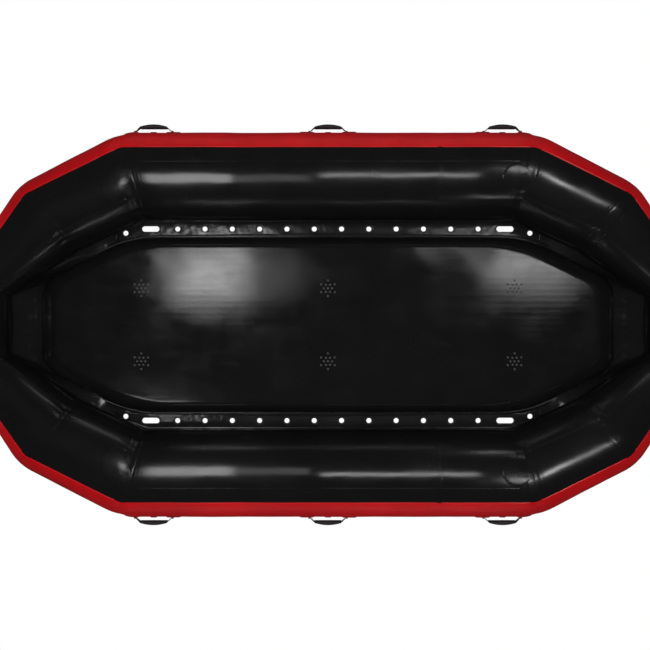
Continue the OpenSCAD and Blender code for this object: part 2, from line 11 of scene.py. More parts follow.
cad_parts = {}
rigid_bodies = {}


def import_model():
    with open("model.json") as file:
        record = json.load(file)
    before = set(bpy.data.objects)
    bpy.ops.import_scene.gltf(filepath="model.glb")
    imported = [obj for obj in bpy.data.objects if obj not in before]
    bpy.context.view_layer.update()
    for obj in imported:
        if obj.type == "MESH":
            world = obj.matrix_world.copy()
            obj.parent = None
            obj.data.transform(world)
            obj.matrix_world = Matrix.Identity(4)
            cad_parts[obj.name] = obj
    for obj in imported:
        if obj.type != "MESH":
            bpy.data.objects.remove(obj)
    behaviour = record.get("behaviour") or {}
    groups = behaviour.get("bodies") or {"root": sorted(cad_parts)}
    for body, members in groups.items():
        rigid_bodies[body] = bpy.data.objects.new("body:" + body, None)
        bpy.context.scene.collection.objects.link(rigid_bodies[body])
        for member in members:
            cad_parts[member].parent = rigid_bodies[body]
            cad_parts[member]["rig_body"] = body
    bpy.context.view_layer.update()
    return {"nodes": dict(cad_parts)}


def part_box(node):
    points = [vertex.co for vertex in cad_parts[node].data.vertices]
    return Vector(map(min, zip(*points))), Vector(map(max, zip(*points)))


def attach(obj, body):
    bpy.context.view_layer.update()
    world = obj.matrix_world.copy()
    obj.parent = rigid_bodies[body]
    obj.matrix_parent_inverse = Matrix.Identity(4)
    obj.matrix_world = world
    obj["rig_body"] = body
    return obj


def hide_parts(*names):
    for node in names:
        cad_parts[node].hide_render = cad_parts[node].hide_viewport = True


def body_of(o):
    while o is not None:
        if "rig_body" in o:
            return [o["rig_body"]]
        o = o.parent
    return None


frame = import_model()

bl_info = {
    "name": "Inflatable Dinghy",
    "version": (1, 0, 0),
    "blender": (4, 5, 0),
    "location": "View3D > Sidebar > Dinghy",
    "description": "Builds the cloth, tapes, floor, handles and valves of an inflatable dinghy",
    "category": "Object",
}

MM = 0.001
FULL_TURN = 2 * math.pi


# ---------------------------------------------------------------- the frame's own sizes


def corners(node):
    """Every different corner of a node's mesh, to a hundredth of a millimetre."""
    mesh = frame["nodes"][node].data
    points = np.empty(3 * len(mesh.vertices))
    mesh.vertices.foreach_get("co", points)
    return np.unique(np.round(points.reshape(-1, 3), 5), axis=0)


def unit(v):
    return v / np.linalg.norm(v, axis=-1, keepdims=True)


def lerp(a, b, s):
    return a * (1 - s) + b * s


def smooth(low, high, x):
    """0 below low, 1 above high, and 3t^2 - 2t^3 between them."""
    t = np.clip((x - low) / (high - low), 0, 1)
    return t * t * (3 - 2 * t)


def bump_at(x, centre, width):
    """Bell curve of height 1 at centre, falling to 1/e a width away."""
    return np.exp(-(((x - centre) / width) ** 2))


class Hull:
    """The tubes' axes and radii, read from the nodes of the port bow quarter and its neighbours.

    The quarter's corners lie in three rings. Sorted along X, the two widest gaps part the rings,
    and each ring is the same on both sides of its centre, so its mean is the tube axis's corner.
    """

    def __init__(self):
        low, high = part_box("side_tube_port")
        side_r = (high[2] - low[2]) / 2
        end_low, end_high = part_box("bow_tube")
        end_r = (end_high[2] - end_low[2]) / 2
        points = np.vstack([corners("bow_quarter_port"), corners("bow_quarter_wrap_port")])
        points = np.unique(points[np.argsort(points[:, 0])], axis=0)
        widest = np.sort(np.argsort(np.diff(points[:, 0]))[-2:]) + 1
        rings = np.split(points, widest)
        self.c = np.array([r.mean(axis=0) for r in rings])
        first = unit(self.c[1] - self.c[0])
        away = rings[1] - self.c[1]
        away = away - np.outer(away @ first, first)
        self.r = [side_r, np.linalg.norm(away, axis=1).max(), end_r]
        forward = np.array([1.0, 0, 0])
        across = np.array([0, -1.0, 0])
        steps = [forward, first, unit(self.c[2] - self.c[1]), across]
        self.n = np.array([unit(steps[k] + steps[k + 1]) for k in range(3)])
        self.h = np.array([unit(np.array([-n[1], n[0], 0])) for n in self.n])
        self.t = np.array([forward, first, across])
        self.wrap = math.asin((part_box("side_wrap_port")[1][2] - side_r) / side_r)
        turns = [math.acos(steps[k] @ steps[k + 1]) / 2 for k in range(3)]
        self.half_turn = [float(t) for t in turns]

    def ring(self, k, angle):
        """Points of joint ring k: the direction at each angle up from outboard, slid along the
        joint's normal into its plane and scaled to the tube's radius around the tube's own axis."""
        e = np.cos(angle)[..., None] * self.h[k] + np.sin(angle)[..., None] * np.array([0, 0, 1.0])
        p = e - (e @ self.n[k])[..., None] * self.n[k]
        q = np.linalg.norm(p - (p @ self.t[k])[..., None] * self.t[k], axis=-1, keepdims=True)
        return self.c[k] + p * (self.r[k] / q)


HULL = Hull()
FABRIC = 1.5 * MM
LAP = float(math.pi + math.asin((HULL.c[0][2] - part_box("floor_top_skin")[0][2]) / HULL.r[0]))


# ---------------------------------------------------------------- meshes


def waves(x, y, seed, size, count=9):
    """Smooth unevenness between about -1 and 1: the mean of sine waves whose directions, phases and
    lengths, from half to twice size, are drawn from a seeded generator."""
    draw = np.random.default_rng(seed)
    total = 0
    for _ in range(count):
        turn, phase = draw.uniform(0, FULL_TURN), draw.uniform(0, FULL_TURN)
        scale = draw.uniform(0.5, 2)
        k = FULL_TURN / (size * scale)
        total = total + np.sin(k * (x * math.cos(turn) + y * math.sin(turn)) + phase)
    return total / math.sqrt(count)


def quads(rows, columns, wrap_columns=False):
    """Corner indices of a grid's faces, row by row, closed around where asked."""
    i = np.arange(rows - 1)[:, None]
    j = np.arange(columns if wrap_columns else columns - 1)[None, :]
    i2, j2 = i + 1, (j + 1) % columns
    ring = np.stack(np.broadcast_arrays(
        i * columns + j, i2 * columns + j, i2 * columns + j2, i * columns + j2), axis=-1)
    return ring.reshape(-1, 4)


def new_piece(name, points, faces, uv=None, material=None, body="hull", nodes=(), slot=None):
    """A mesh object at the origin, shaded smooth, that rides on a body and stands for its nodes."""
    mesh = bpy.data.meshes.new(name)
    points = np.asarray(points, dtype=np.float64).reshape(-1, 3)
    mesh.from_pydata(points, [], faces.tolist() if isinstance(faces, np.ndarray) else faces)
    if uv is not None:
        layer = mesh.uv_layers.new(name="UVMap")
        loops = np.empty(len(mesh.loops), dtype=np.int64)
        mesh.loops.foreach_get("vertex_index", loops)
        layer.data.foreach_set("uv", np.asarray(uv, dtype=np.float32).reshape(-1, 2)[loops].ravel())
    mesh.shade_smooth()
    mesh.validate()
    piece = bpy.data.objects.new(name, mesh)
    bpy.context.scene.collection.objects.link(piece)
    if material is not None:
        mesh.materials.append(material)
    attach(piece, body)
    if nodes:
        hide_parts(*nodes)
    return piece


def thicken(piece, thickness, offset=-1.0):
    """Gives a sheet its wall. Offset -1 puts the wall behind the sheet's outer face."""
    wall = piece.modifiers.new("wall", "SOLIDIFY")
    wall.thickness = thickness
    wall.offset = offset
    wall.use_even_offset = True


def grid_piece(name, grid, uv=None, flip=False, closed=False, **about):
    """A piece from one grid of points, turned inside out where flip says so."""
    faces = quads(*grid.shape[:2], wrap_columns=closed)
    return new_piece(name, grid, faces[:, ::-1] if flip else faces, uv=uv, **about)


def joined_piece(name, parts, **about):
    """One piece from several sets of points, faces and UVs."""
    points, faces, uvs, count = [], [], [], 0
    for p, f, uv in parts:
        p = np.asarray(p).reshape(-1, 3)
        points.append(p)
        faces.extend([i + count for i in face] for face in np.asarray(f, dtype=object).tolist())
        uvs.append(np.asarray(uv).reshape(-1, 2))
        count += len(p)
    return new_piece(name, np.vstack(points), faces, uv=np.vstack(uvs), **about)


def facing(faces, flip):
    """Faces, turned inside out where flip says so."""
    return [f[::-1] for f in faces] if flip else faces


def spread_uv(along, across):
    """UVs of a grid from the distance along each column and across each row."""
    return np.stack(np.meshgrid(along, across), axis=-1)


def polar(radii, count):
    """Radius and angle of each point on rings around a centre."""
    return np.meshgrid(radii, np.linspace(0, FULL_TURN, count, endpoint=False), indexing="ij")


def disc(points, x, y, flip=False):
    """Rings of points closed by a hub at the middle of the first, as points, faces and UVs."""
    rows, columns = points.shape[:2]
    faces = quads(rows, columns, wrap_columns=True).tolist()
    faces.extend([j, (j + 1) % columns, rows * columns] for j in range(columns))
    uv = np.vstack([np.stack([x, y], axis=-1).reshape(-1, 2), [[0, 0]]])
    return np.vstack([points.reshape(-1, 3), points[0].mean(axis=0)]), facing(faces, flip), uv


# ---------------------------------------------------------------- finishes


class Wire:
    """One output of a node. Arithmetic on it adds a Math node and gives its output."""

    def __init__(self, finish, socket):
        self.finish = finish
        self.socket = socket

    def math(self, operation, *values):
        return self.finish.add("Math", {"operation": operation}, dict(enumerate(values)))

    def __add__(self, other):
        return self.math("ADD", self, other)

    def __sub__(self, other):
        return self.math("SUBTRACT", self, other)

    def __rsub__(self, other):
        return self.math("SUBTRACT", other, self)

    def __mul__(self, other):
        return self.math("MULTIPLY", self, other)

    __radd__ = __add__
    __rmul__ = __mul__

    def between(self, low, high):
        """0 where this is at low or less, 1 where it is at high or more."""
        return self.finish.add("MapRange", {"interpolation_type": "SMOOTHSTEP"},
                               {"Value": self, "From Min": low, "From Max": high})


class Finish:
    """A material around one Principled shader, and the one method that adds its other nodes."""

    def __init__(self, name, fixed):
        self.material = bpy.data.materials.new(name)
        self.material.use_nodes = True
        self.tree = self.material.node_tree
        self.shader = self.tree.nodes["Principled BSDF"]
        for key, value in fixed.items():
            self.shader.inputs[key].default_value = value

    def add(self, kind, settings=None, inputs=None, output=0):
        node = self.tree.nodes.new("ShaderNode" + kind)
        for key, value in (settings or {}).items():
            setattr(node, key, value)
        for key, value in (inputs or {}).items():
            self.link(node.inputs[key], value)
        return Wire(self, node.outputs[output])

    def link(self, socket, value):
        if isinstance(value, Wire):
            self.tree.links.new(value.socket, socket)
        else:
            socket.default_value = value

    def place(self):
        """Where a point is on the object, in metres."""
        return self.add("TexCoord", output="Object")

    def along(self):
        """Where a point is on the cloth: the piece's own UV map, in metres."""
        return self.add("TexCoord", output="UV")

    def parts(self, coords):
        """The X, Y and Z of a vector."""
        split = self.add("SeparateXYZ", {}, {0: coords}).socket.node
        return [Wire(self, out) for out in split.outputs]

    def ripples(self, distance, pitch):
        """Sine wave between -1 and 1 along a distance."""
        return distance.math("SINE", distance * (FULL_TURN / pitch))

    def stretched(self, coords, x, y, z=1.0):
        return self.add("VectorMath", {"operation": "MULTIPLY"}, {0: coords, 1: (x, y, z)})

    def noise(self, coords, size, detail=3.0, roughness=0.55):
        """Cloudy values around one half, with features about size metres across."""
        return self.add("TexNoise", {}, {"Vector": coords, "Scale": 1 / size, "Detail": detail,
                                         "Roughness": roughness}, "Fac")

    def mix(self, factor, a, b):
        return self.add("Mix", {"data_type": "RGBA"}, {0: factor, 6: a, 7: b}, 2)

    def bump(self, height, distance, strength=1.0):
        return self.add("Bump", {}, {"Height": height, "Distance": distance, "Strength": strength},
                        "Normal")

    def feed(self, inputs):
        for key, value in inputs.items():
            self.link(self.shader.inputs[key], value)
        return self.material


CLOTH_GRAIN = 0.04 * MM
WEAVE_PITCH = 1.3 * MM
WEBBING_PITCH = 2.4 * MM


def shaded(colour, share):
    """A colour with its red, green and blue multiplied by a share."""
    return tuple(c * share for c in colour[:3]) + (1,)


def weave(finish, coords, pitch):
    """Plain weave: two sets of threads a pitch apart, crossing, as the product of two sine
    waves."""
    x, y, _ = finish.parts(coords)
    return finish.ripples(x, pitch) * finish.ripples(y, pitch)


def coated_cloth(name, colour, dust, roughness):
    """Rubber-coated cloth: cloudy gloss, fine grain with the weave showing through, and pale dust
    that gathers in patches."""
    f = Finish(name, {"Specular IOR Level": 0.5})
    place = f.place()
    cloud = f.noise(place, 0.14)
    fine = f.noise(place, 3 * MM, detail=2.0)
    smear = f.noise(f.stretched(place, 0.35, 1.6, 1.0), 0.05, detail=5.0)
    mottled = f.mix(cloud.between(0.35, 0.7), shaded(colour, 0.86), colour)
    dusty = f.mix(smear.between(0.58, 0.85) * 0.14, mottled, dust)
    height = weave(f, f.along(), WEAVE_PITCH) * 0.35 + fine
    return f.feed({
        "Base Color": dusty,
        "Roughness": roughness + (cloud - 0.5) * 0.22 + (smear - 0.5) * 0.10 + (fine - 0.5) * 0.05,
        "Normal": f.bump(height, CLOTH_GRAIN, strength=0.5),
    })


def webbing(name, colour, pale):
    """Woven webbing: coarse ribs across the band, finer threads along it, worn paler on the
    ribs."""
    f = Finish(name, {"Roughness": 0.7, "Specular IOR Level": 0.3})
    ribs = weave(f, f.along(), WEBBING_PITCH)
    fuzz = f.noise(f.place(), 1.5 * MM, detail=4.0)
    tone = f.mix(ribs.between(-0.2, 0.9) * 0.35 + (fuzz - 0.5) * 0.3, colour, pale)
    return f.feed({"Base Color": tone, "Normal": f.bump(ribs + fuzz * 0.5, 0.4 * MM)})


def moulded(name, colour, pale, roughness, grain, metallic=0.0):
    """Moulded rubber, plastic or drawn wire: a fine skin, flow marks and paler worn spots."""
    f = Finish(name, {"Metallic": metallic})
    place = f.place()
    skin = f.noise(place, 0.8 * MM, detail=2.0)
    marks = f.noise(f.stretched(place, 1.0, 1.0, 3.0), 0.03, detail=4.0)
    tone = f.mix(marks.between(0.5, 0.8) * 0.35, colour, pale)
    return f.feed({"Base Color": tone, "Roughness": roughness + (marks - 0.5) * 0.25,
                   "Normal": f.bump(skin, grain, strength=0.6)})


def thread_cloth(name, colour):
    """Close rows of upright threads, as ridges along Z on the flat of each row, with painted shade
    darkening the grooves between them.
    """
    f = Finish(name, {"Roughness": 0.8, "Specular IOR Level": 0.25})
    threads = f.ripples(f.parts(f.place())[0], 2 * MM)
    # Painted shade: the colour is darker in the grooves between the thread ridges.
    tone = f.mix(threads.between(-0.6, 0.6), shaded(colour, 0.6), colour)
    return f.feed({"Base Color": tone, "Normal": f.bump(threads, 0.5 * MM)})


# ---------------------------------------------------------------- tubes


def spread(count, crowd=0.7):
    """Shares from 0 to 1, crowded towards both ends: t - crowd sin(2 pi t) / (2 pi)."""
    t = np.linspace(0, 1, count)
    return t - crowd * np.sin(FULL_TURN * t) / FULL_TURN


class Relief:
    """How the blown-up cloth departs from the straight tubes."""

    SEAM_SPREAD = 26 * MM
    FOLD_FADE = 42 * MM
    SHOULDER, SHOULDER_SPREAD = math.radians(103), math.radians(17)
    RIPPLE_PITCH, RIPPLE_PLACE, RIPPLE_SPREAD = 15 * MM, 18 * MM, 34 * MM

    def __init__(self, look):
        self.round_r = look.joint_radius
        self.pinch = look.seam_pinch
        self.fold = look.fold_depth
        self.ripple = look.ripple_depth
        self.swell = look.unevenness

    def near_joint(self, d, angle, half_turn, seed):
        """Offset a distance d from a joint. The outer side is cut back by a parabola, so that its
        corner is rounded. The seam is drawn in along a bell curve. Folds run along the inner side
        and fade within a hand's width, and fine ripples cross the inboard shoulder."""
        outer = np.clip(np.cos(angle), 0, 1)
        inner = smooth(-0.1, 0.8, -np.cos(angle))
        reach = self.round_r * math.tan(half_turn)
        cut = np.clip(reach - d, 0, None) ** 2 / (2 * self.round_r) * outer
        seam = self.pinch * bump_at(d, 0, self.SEAM_SPREAD) * (0.45 + 0.55 * inner)
        phase = 21 * angle + 1.6 * np.sin(6 * angle + seed) + seed
        folds = self.fold * (0.5 + 0.5 * np.sin(phase)) * inner * np.exp(-d / self.FOLD_FADE)
        shoulder = bump_at(angle, self.SHOULDER, self.SHOULDER_SPREAD)
        waver = FULL_TURN * d / self.RIPPLE_PITCH + 2.2 * np.sin(4 * angle + 2 * seed)
        ripples = (self.ripple * np.sin(waver) * shoulder
                   * bump_at(d, self.RIPPLE_PLACE, self.RIPPLE_SPREAD))
        return ripples - cut - seam - folds

    def swelling(self, x, y, z):
        """Slow unevenness of the whole skin, from where the point is on the boat."""
        u, v = x + 0.5 * z, y + 0.8 * z
        return self.swell * (waves(u, v, 7, 0.3) + 0.25 * waves(u, v, 57, 0.1))


class Tube:
    """A straight tube between two joint rings, in the port bow quarter of the boat. Each end is
    (ring number, mirror signs, half the turn at the joint)."""

    def __init__(self, start, end, radius):
        self.ends = (start, end)
        self.radius = radius
        self.centres = [HULL.c[k] * (*signs, 1.0) for k, signs in self.ends]

    def ring(self, end, angle):
        k, signs = self.ends[end]
        return HULL.ring(k, angle) * (*signs, 1.0)

    def skin(self, s, angle, off, relief, signs=(1, 1)):
        """Points on the skin at shares s along it and at each angle: a straight line between the
        two rings' points, moved along the normal by off and by the relief. The normal is square to
        the axis, and turns into the joint's own plane close to a joint. With the points come the
        distance along the tube and around it."""
        a, b = self.ring(0, angle), self.ring(1, angle)
        length = np.linalg.norm(b - a, axis=-1)
        p = lerp(a, b, s[..., None])
        axis = unit(self.centres[1] - self.centres[0])
        away = p - self.centres[0]
        normal = unit(away - (away @ axis)[..., None] * axis)
        total = off + relief.swelling(p[..., 0] * signs[0], p[..., 1] * signs[1], p[..., 2])
        for end, d in enumerate((s * length, (1 - s) * length)):
            side = unit(self.ring(end, angle) - self.centres[end])
            normal = unit(normal + (side - normal) * bump_at(d, 0, 20 * MM)[..., None])
            k, mirror = self.ends[end]
            seed = k + 3 * (signs[0] * mirror[0] < 0) + 6 * (signs[1] * mirror[1] < 0)
            total = total + relief.near_joint(d, angle, HULL.half_turn[k], seed)
        uv = np.stack([s * length, np.broadcast_to(angle * self.radius, s.shape)], axis=-1)
        return (p + normal * total[..., None]) * (*signs, 1.0), uv


r0, r1, r2 = HULL.r
TUBES = {
    "side": Tube((0, (-1, 1)), (0, (1, 1)), r0),
    "first": Tube((0, (1, 1)), (1, (1, 1)), (r0 + r1) / 2),
    "second": Tube((1, (1, 1)), (2, (1, 1)), (r1 + r2) / 2),
    "end": Tube((2, (1, 1)), (2, (1, -1)), r2),
}
# Mirror signs of the four quarters: port bow, starboard bow, port stern, starboard stern.
QUARTERS = ((1, 1), (1, -1), (-1, 1), (-1, -1))
ROWS = {"side": 190, "first": 70, "second": 70, "end": 70}


def across(low, high, pitch):
    """Angles from low to high, a pitch apart on the side tube's skin."""
    return np.linspace(low, high, max(3, int(abs(high - low) * HULL.r[0] / pitch)))


def tube_piece(name, tubes, signs, low, high, relief, off=0.0, **about):
    """One piece of cloth along one tube, or along a quarter's two tubes with the knee's rows
    shared."""
    grids, uvs, start = [], [], 0.0
    for i, tube in enumerate(tubes):
        s, a = np.meshgrid(spread(ROWS[tube]), across(low, high, 8 * MM), indexing="ij")
        points, uv = TUBES[tube].skin(s, a, off, relief, signs)
        grids.append(points[i:])
        uvs.append(uv[i:] + (start, 0))
        start += float(uv[..., 0].max())
    piece = grid_piece(name, np.concatenate(grids), np.concatenate(uvs),
                       flip=signs[0] * signs[1] > 0, **about)
    thicken(piece, FABRIC)
    return piece


def every_tube():
    """Each of the eight tubes as (its start of a name, side, the tubes it is made of, mirror
    signs)."""
    for side, y in (("port", 1), ("starboard", -1)):
        yield "side", "_" + side, ["side"], (1, y)
        for end, x in (("bow", 1), ("stern", -1)):
            yield f"{end}_quarter", "_" + side, ["first", "second"], (x, y)
    for end, x in (("bow", 1), ("stern", -1)):
        yield end, "", ["end"], (x, 1)


def build_tubes(look, black):
    """The black cloth of each tube, from one edge of the coloured wrap round to the other."""
    relief = Relief(look)
    for start, side, tubes, signs in every_tube():
        node = start + side if "quarter" in start else f"{start}_tube{side}"
        tube_piece(f"{node}_cloth", tubes, signs, HULL.wrap, FULL_TURN - HULL.wrap, relief,
                   material=black, nodes=[node], slot="black_coating")


def build_wraps(look, red):
    """The coloured wrap of each tube, glued over the black cloth's edges."""
    relief = Relief(look)
    reach = HULL.wrap + look.wrap_lap / HULL.r[0]
    for start, side, tubes, signs in every_tube():
        node = f"{start}_wrap{side}"
        tube_piece(f"{node}_cloth", tubes, signs, -reach, reach, relief, off=1.2 * MM,
                   material=red, nodes=[node], slot="red_coating")


# Profile across a tape: distance from its middle as a share of half its width, and its height as a
# share of its full height. The edges turn down to the skin.
TAPE_PROFILE = np.array([(-1.0, 0.1), (-0.985, 0.7), (-0.95, 1.0), (-0.5, 1.0), (0.0, 1.0),
                         (0.5, 1.0), (0.95, 1.0), (0.985, 0.7), (1.0, 0.1)])
TAPE_TOP = 1.5 * MM
TAPE_WALL = 0.8 * MM


def joint_band(k, signs, half_width, low, high, relief):
    """Tape over a joint ring: each profile row lies its distance from the ring, on the tube before
    it or on the tube after it."""
    before, after = (("side", "first"), ("first", "second"), ("second", "end"))[k]
    rows, uvs = [], []
    angle = across(low, high, 6 * MM)
    for share, height in TAPE_PROFILE:
        tube = TUBES[before if share < 0 else after]
        length = np.linalg.norm(tube.ring(1, angle) - tube.ring(0, angle), axis=-1)
        d = abs(share) * half_width / length
        s = 1 - d if share < 0 else d
        points, uv = tube.skin(s, angle, TAPE_TOP * height, relief, signs)
        rows.append(points)
        uvs.append(np.stack([np.full(len(angle), share * half_width), uv[..., 1]], axis=-1))
    return np.stack(rows), np.stack(uvs)


def girth_band(signs, x, half_width, low, high, relief):
    """Tape around the side tube at a distance x from amidships."""
    tube = TUBES["side"]
    share, a = np.meshgrid(TAPE_PROFILE[:, 0], across(low, high, 6 * MM), indexing="ij")
    start, end = tube.ring(0, a)[..., 0], tube.ring(1, a)[..., 0]
    s = (x + share * half_width - start) / (end - start)
    points, uv = tube.skin(s, a, TAPE_TOP * TAPE_PROFILE[:, 1:], relief, signs)
    return points, np.stack([share * half_width, uv[..., 1]], axis=-1)


def seam_band(tube, signs, low, high, middle, half_width, relief, top, count=60):
    """Narrow strip of cloth over the seam that runs along a tube."""
    t = TUBES[tube]
    s, share = np.meshgrid(np.linspace(low, high, count), TAPE_PROFILE[:, 0], indexing="ij")
    a = middle + share * half_width / t.radius
    points, uv = t.skin(s, a, top * TAPE_PROFILE[:, 1], relief, signs)
    return points, np.stack([uv[..., 0], share * half_width], axis=-1)


def bands_piece(name, bands, thickness, **about):
    """One piece from several bands, each its points, its UVs and whether it is turned inside
    out."""
    parts = [(points, facing(quads(*points.shape[:2]), flip), uv) for points, uv, flip in bands]
    thicken(joined_piece(name, parts, **about), thickness)


def build_tapes(look, tape):
    """Tapes over the joints and around the side tubes, and the narrow strips along the seams."""
    relief = Relief(look)
    low, high = HULL.wrap, LAP - math.radians(10)
    bands = []
    for signs in QUARTERS:
        for k in range(3):
            band = joint_band(k, signs, look.tape_width / 2, low, high, relief)
            bands.append((*band, signs[0] * signs[1] > 0))
    bands_piece("joint_tapes_cloth", bands, TAPE_WALL, material=tape, nodes=["joint_tapes"],
                slot="seam_tape")
    girth_low, girth_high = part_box("girth_tapes")
    middle, half = (girth_low[0] + girth_high[0]) / 2, (girth_high[0] - girth_low[0]) / 2
    bands = [(*girth_band((1, y), middle, half, low, high, relief), y > 0) for y in (1, -1)]
    bands_piece("girth_tapes_cloth", bands, TAPE_WALL, material=tape, nodes=["girth_tapes"],
                slot="seam_tape")


def build_seams(look, tape):
    """Strips over the seams along the tubes: just outboard of the side tubes' crest, and on the
    inboard shoulder of the quarters' first tubes."""
    relief = Relief(look)
    half = look.seam_strip_width / 2
    bands = []
    for y in (1, -1):
        band = seam_band("side", (1, y), 0.03, 0.97, look.side_seam, half, relief, 0.6 * MM, 160)
        bands.append((*band, y > 0))
    for signs in QUARTERS:
        for tube in ("first", "second"):
            band = seam_band(tube, signs, 0.08, 0.92, look.quarter_seam, half, relief, 0.9 * MM)
            bands.append((*band, signs[0] * signs[1] > 0))
    bands_piece("seam_strips", bands, 0.4 * MM, material=tape, slot="seam_tape")


def build_patches(look, tape):
    """Round patches on the crest near each joint: rings of points around the patch's centre, laid
    on the side tube or, past the joint, on the quarter's first tube. The rim turns down to the
    skin."""
    relief = Relief(look)
    boxes = corners("round_patches")
    parts = []
    for signs in QUARTERS:
        mine = boxes[(boxes[:, 0] * signs[0] > 0) & (boxes[:, 1] * signs[1] > 0)]
        centre = (mine.min(axis=0) + mine.max(axis=0)) / 2 * (*signs, 1)
        radius = (mine[:, 0].max() - mine[:, 0].min()) / 2
        rho, phi = polar([0.02, 0.25, 0.5, 0.75, 0.93, 0.965, 0.985, 1.0], 64)
        height = (0.1 + 0.9 * smooth(1.0, 0.95, rho)) * (TAPE_TOP + 0.4 * MM)
        dx, dy = rho * radius * np.cos(phi), rho * radius * np.sin(phi)
        angle = math.acos((centre[1] - HULL.c[0][1]) / HULL.r[0]) + dy / HULL.r[0]
        side, first = TUBES["side"], TUBES["first"]
        past = centre[0] + dx - side.ring(1, angle)[..., 0]
        side_length = side.ring(1, angle)[..., 0] - side.ring(0, angle)[..., 0]
        first_length = np.linalg.norm(first.ring(1, angle) - first.ring(0, angle), axis=-1)
        on_side, _ = side.skin(1 + np.minimum(past, 0) / side_length, angle, height, relief, signs)
        on_first, _ = first.skin(np.maximum(past, 0) / first_length, angle, height, relief, signs)
        points = np.where((past < 0)[..., None], on_side, on_first)
        parts.append(disc(points, dx, dy, flip=signs[0] * signs[1] > 0))
    piece = joined_piece("round_patches_cloth", parts, material=tape, nodes=["round_patches"],
                         slot="seam_tape")
    thicken(piece, TAPE_WALL)


# ---------------------------------------------------------------- floor


class Floor:
    """Outlines of the floor, read from its nodes: the edge, its widest line, and the flat top."""

    def __init__(self):
        low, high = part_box("floor_top_skin")
        edge = corners("floor_top_skin")
        self.mid = low[2]
        self.top = high[2]
        self.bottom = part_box("floor_bottom_skin")[0][2]
        self.side, self.end = high[1], high[0]
        self.corner_x = edge[edge[:, 1] > high[1] - MM][:, 0].max()
        self.end_y = edge[edge[:, 0] > high[0] - MM][:, 1].max()
        flat = edge[edge[:, 2] > high[2] - 0.1 * MM]
        self.flat_side, self.flat_end = flat[:, 1].max(), flat[:, 0].max()
        self.flat_corner_x = flat[flat[:, 1] > self.flat_side - MM][:, 0].max()
        self.flat_end_y = flat[flat[:, 0] > self.flat_end - MM][:, 1].max()

    def quadrant(self, side, end, corner_x, end_y, radii):
        """Outline from amidships on the port side round to the bow: straight, arc, straight, arc,
        straight. Each arc touches its two straights, so it starts radius x tan(half the turn) from
        their corner. The counts never change, so that two outlines' points belong together."""
        points = np.array([[0, side], [corner_x, side], [end, end_y], [end, 0]])
        way = unit(np.diff(points, axis=0))
        parts, start = [], points[0]
        for i, radius in enumerate(radii):
            corner, before, after = points[i + 1], way[i], way[i + 1]
            turn = math.acos(float(before @ after))
            reach = radius * math.tan(turn / 2)
            first = corner - before * reach
            share = np.linspace(0, 1, (60, 24)[i], endpoint=False)
            parts.append(lerp(start, first, share[:, None]))
            hub = first + np.array([before[1], -before[0]]) * radius
            a = np.linspace(0, turn, 22, endpoint=False)[:, None]
            out = first - hub
            side_way = np.array([out[1], -out[0]])
            parts.append(hub + out * np.cos(a) + side_way * np.sin(a))
            start = corner + after * reach
        parts.append(lerp(start, points[3], np.linspace(0, 1, 14)[:, None]))
        return np.vstack(parts)

    def edge_quadrant(self):
        return self.quadrant(self.side, self.end, self.corner_x, self.end_y, (0.55, 0.11))

    def flat_quadrant(self):
        return self.quadrant(self.flat_side, self.flat_end, self.flat_corner_x, self.flat_end_y,
                             (0.55, 0.09))


FLOOR = Floor()


def whole(quadrant):
    """The closed outline from one quadrant's: bow to port first, and on round by the stern."""
    port_bow = quadrant[::-1]
    port = np.vstack([port_bow, port_bow[:-1][::-1] * (-1, 1)])
    return np.vstack([port, port[1:-1][::-1] * (1, -1)])


def at_height(outline, z):
    return np.concatenate([outline, np.full((*outline.shape[:-1], 1), z)], axis=-1)


def floor_relief(x, y, look):
    """Height of the top skin above its plane: a low crown, faint ribs along the boat over the rows
    of drop threads, and slow unevenness."""
    crown = look.crown * (1 - (x / FLOOR.end) ** 2) * (1 - (y / FLOOR.side) ** 2)
    ribs = look.rib_depth * np.cos(FULL_TURN * y / look.rib_pitch)
    rim = smooth(0.6, 1.0, np.abs(y) / FLOOR.flat_side)
    slow = look.unevenness * (waves(x * 0.6, y, 11, 0.28) + 1.6 * rim * waves(x, y * 0.5, 12, 0.12))
    return crown + ribs + slow


def floor_skin(look, up):
    """Half of the floor's skin. From a line along the middle, rows of points spread to the flat's
    outline, and then over the shoulder along a quarter of an ellipse down to the edge. Around the
    valve under the stern the shoulder is a straight slope instead."""
    edge, flat = whole(FLOOR.edge_quadrant()), whole(FLOOR.flat_quadrant())
    core = np.stack([np.clip(flat[:, 0], -0.8, 0.8), np.zeros(len(flat))], axis=-1)
    level = FLOOR.top if up else FLOOR.bottom
    rows = []
    for s in np.linspace(0, 1, 46)[:-1]:
        p = lerp(core, flat, s)
        rise = floor_relief(p[:, 0], p[:, 1], look) if up else np.zeros(len(p))
        rows.append(np.column_stack([p, level + rise]))
    valve = (edge[:, 0] < 0) * smooth(0.17, 0.10, np.abs(edge[:, 1])) * (not up)
    for t in np.linspace(0, math.pi / 2, 24):
        out = lerp(math.sin(t), t * 2 / math.pi, valve)
        fall = lerp(math.cos(t), 1 - t * 2 / math.pi, valve)
        p = flat + (edge - flat) * out[:, None]
        rise = floor_relief(p[:, 0], p[:, 1], look) * fall ** 2 if up else np.zeros(len(p))
        rows.append(np.column_stack([p, FLOOR.mid + (level - FLOOR.mid) * fall + rise]))
    grid = np.stack(rows)
    uv = grid[..., :2].copy()
    return grid, uv


def build_floor(look, cloth):
    for up, node in ((True, "floor_top_skin"), (False, "floor_bottom_skin")):
        grid, uv = floor_skin(look, up)
        piece = grid_piece(f"{node}_cloth", grid, uv, flip=not up, closed=True, material=cloth,
                           nodes=[node], slot="floor_coating")
        weld = piece.modifiers.new("weld", "WELD")
        weld.merge_threshold = 0.05 * MM
        thicken(piece, FABRIC)


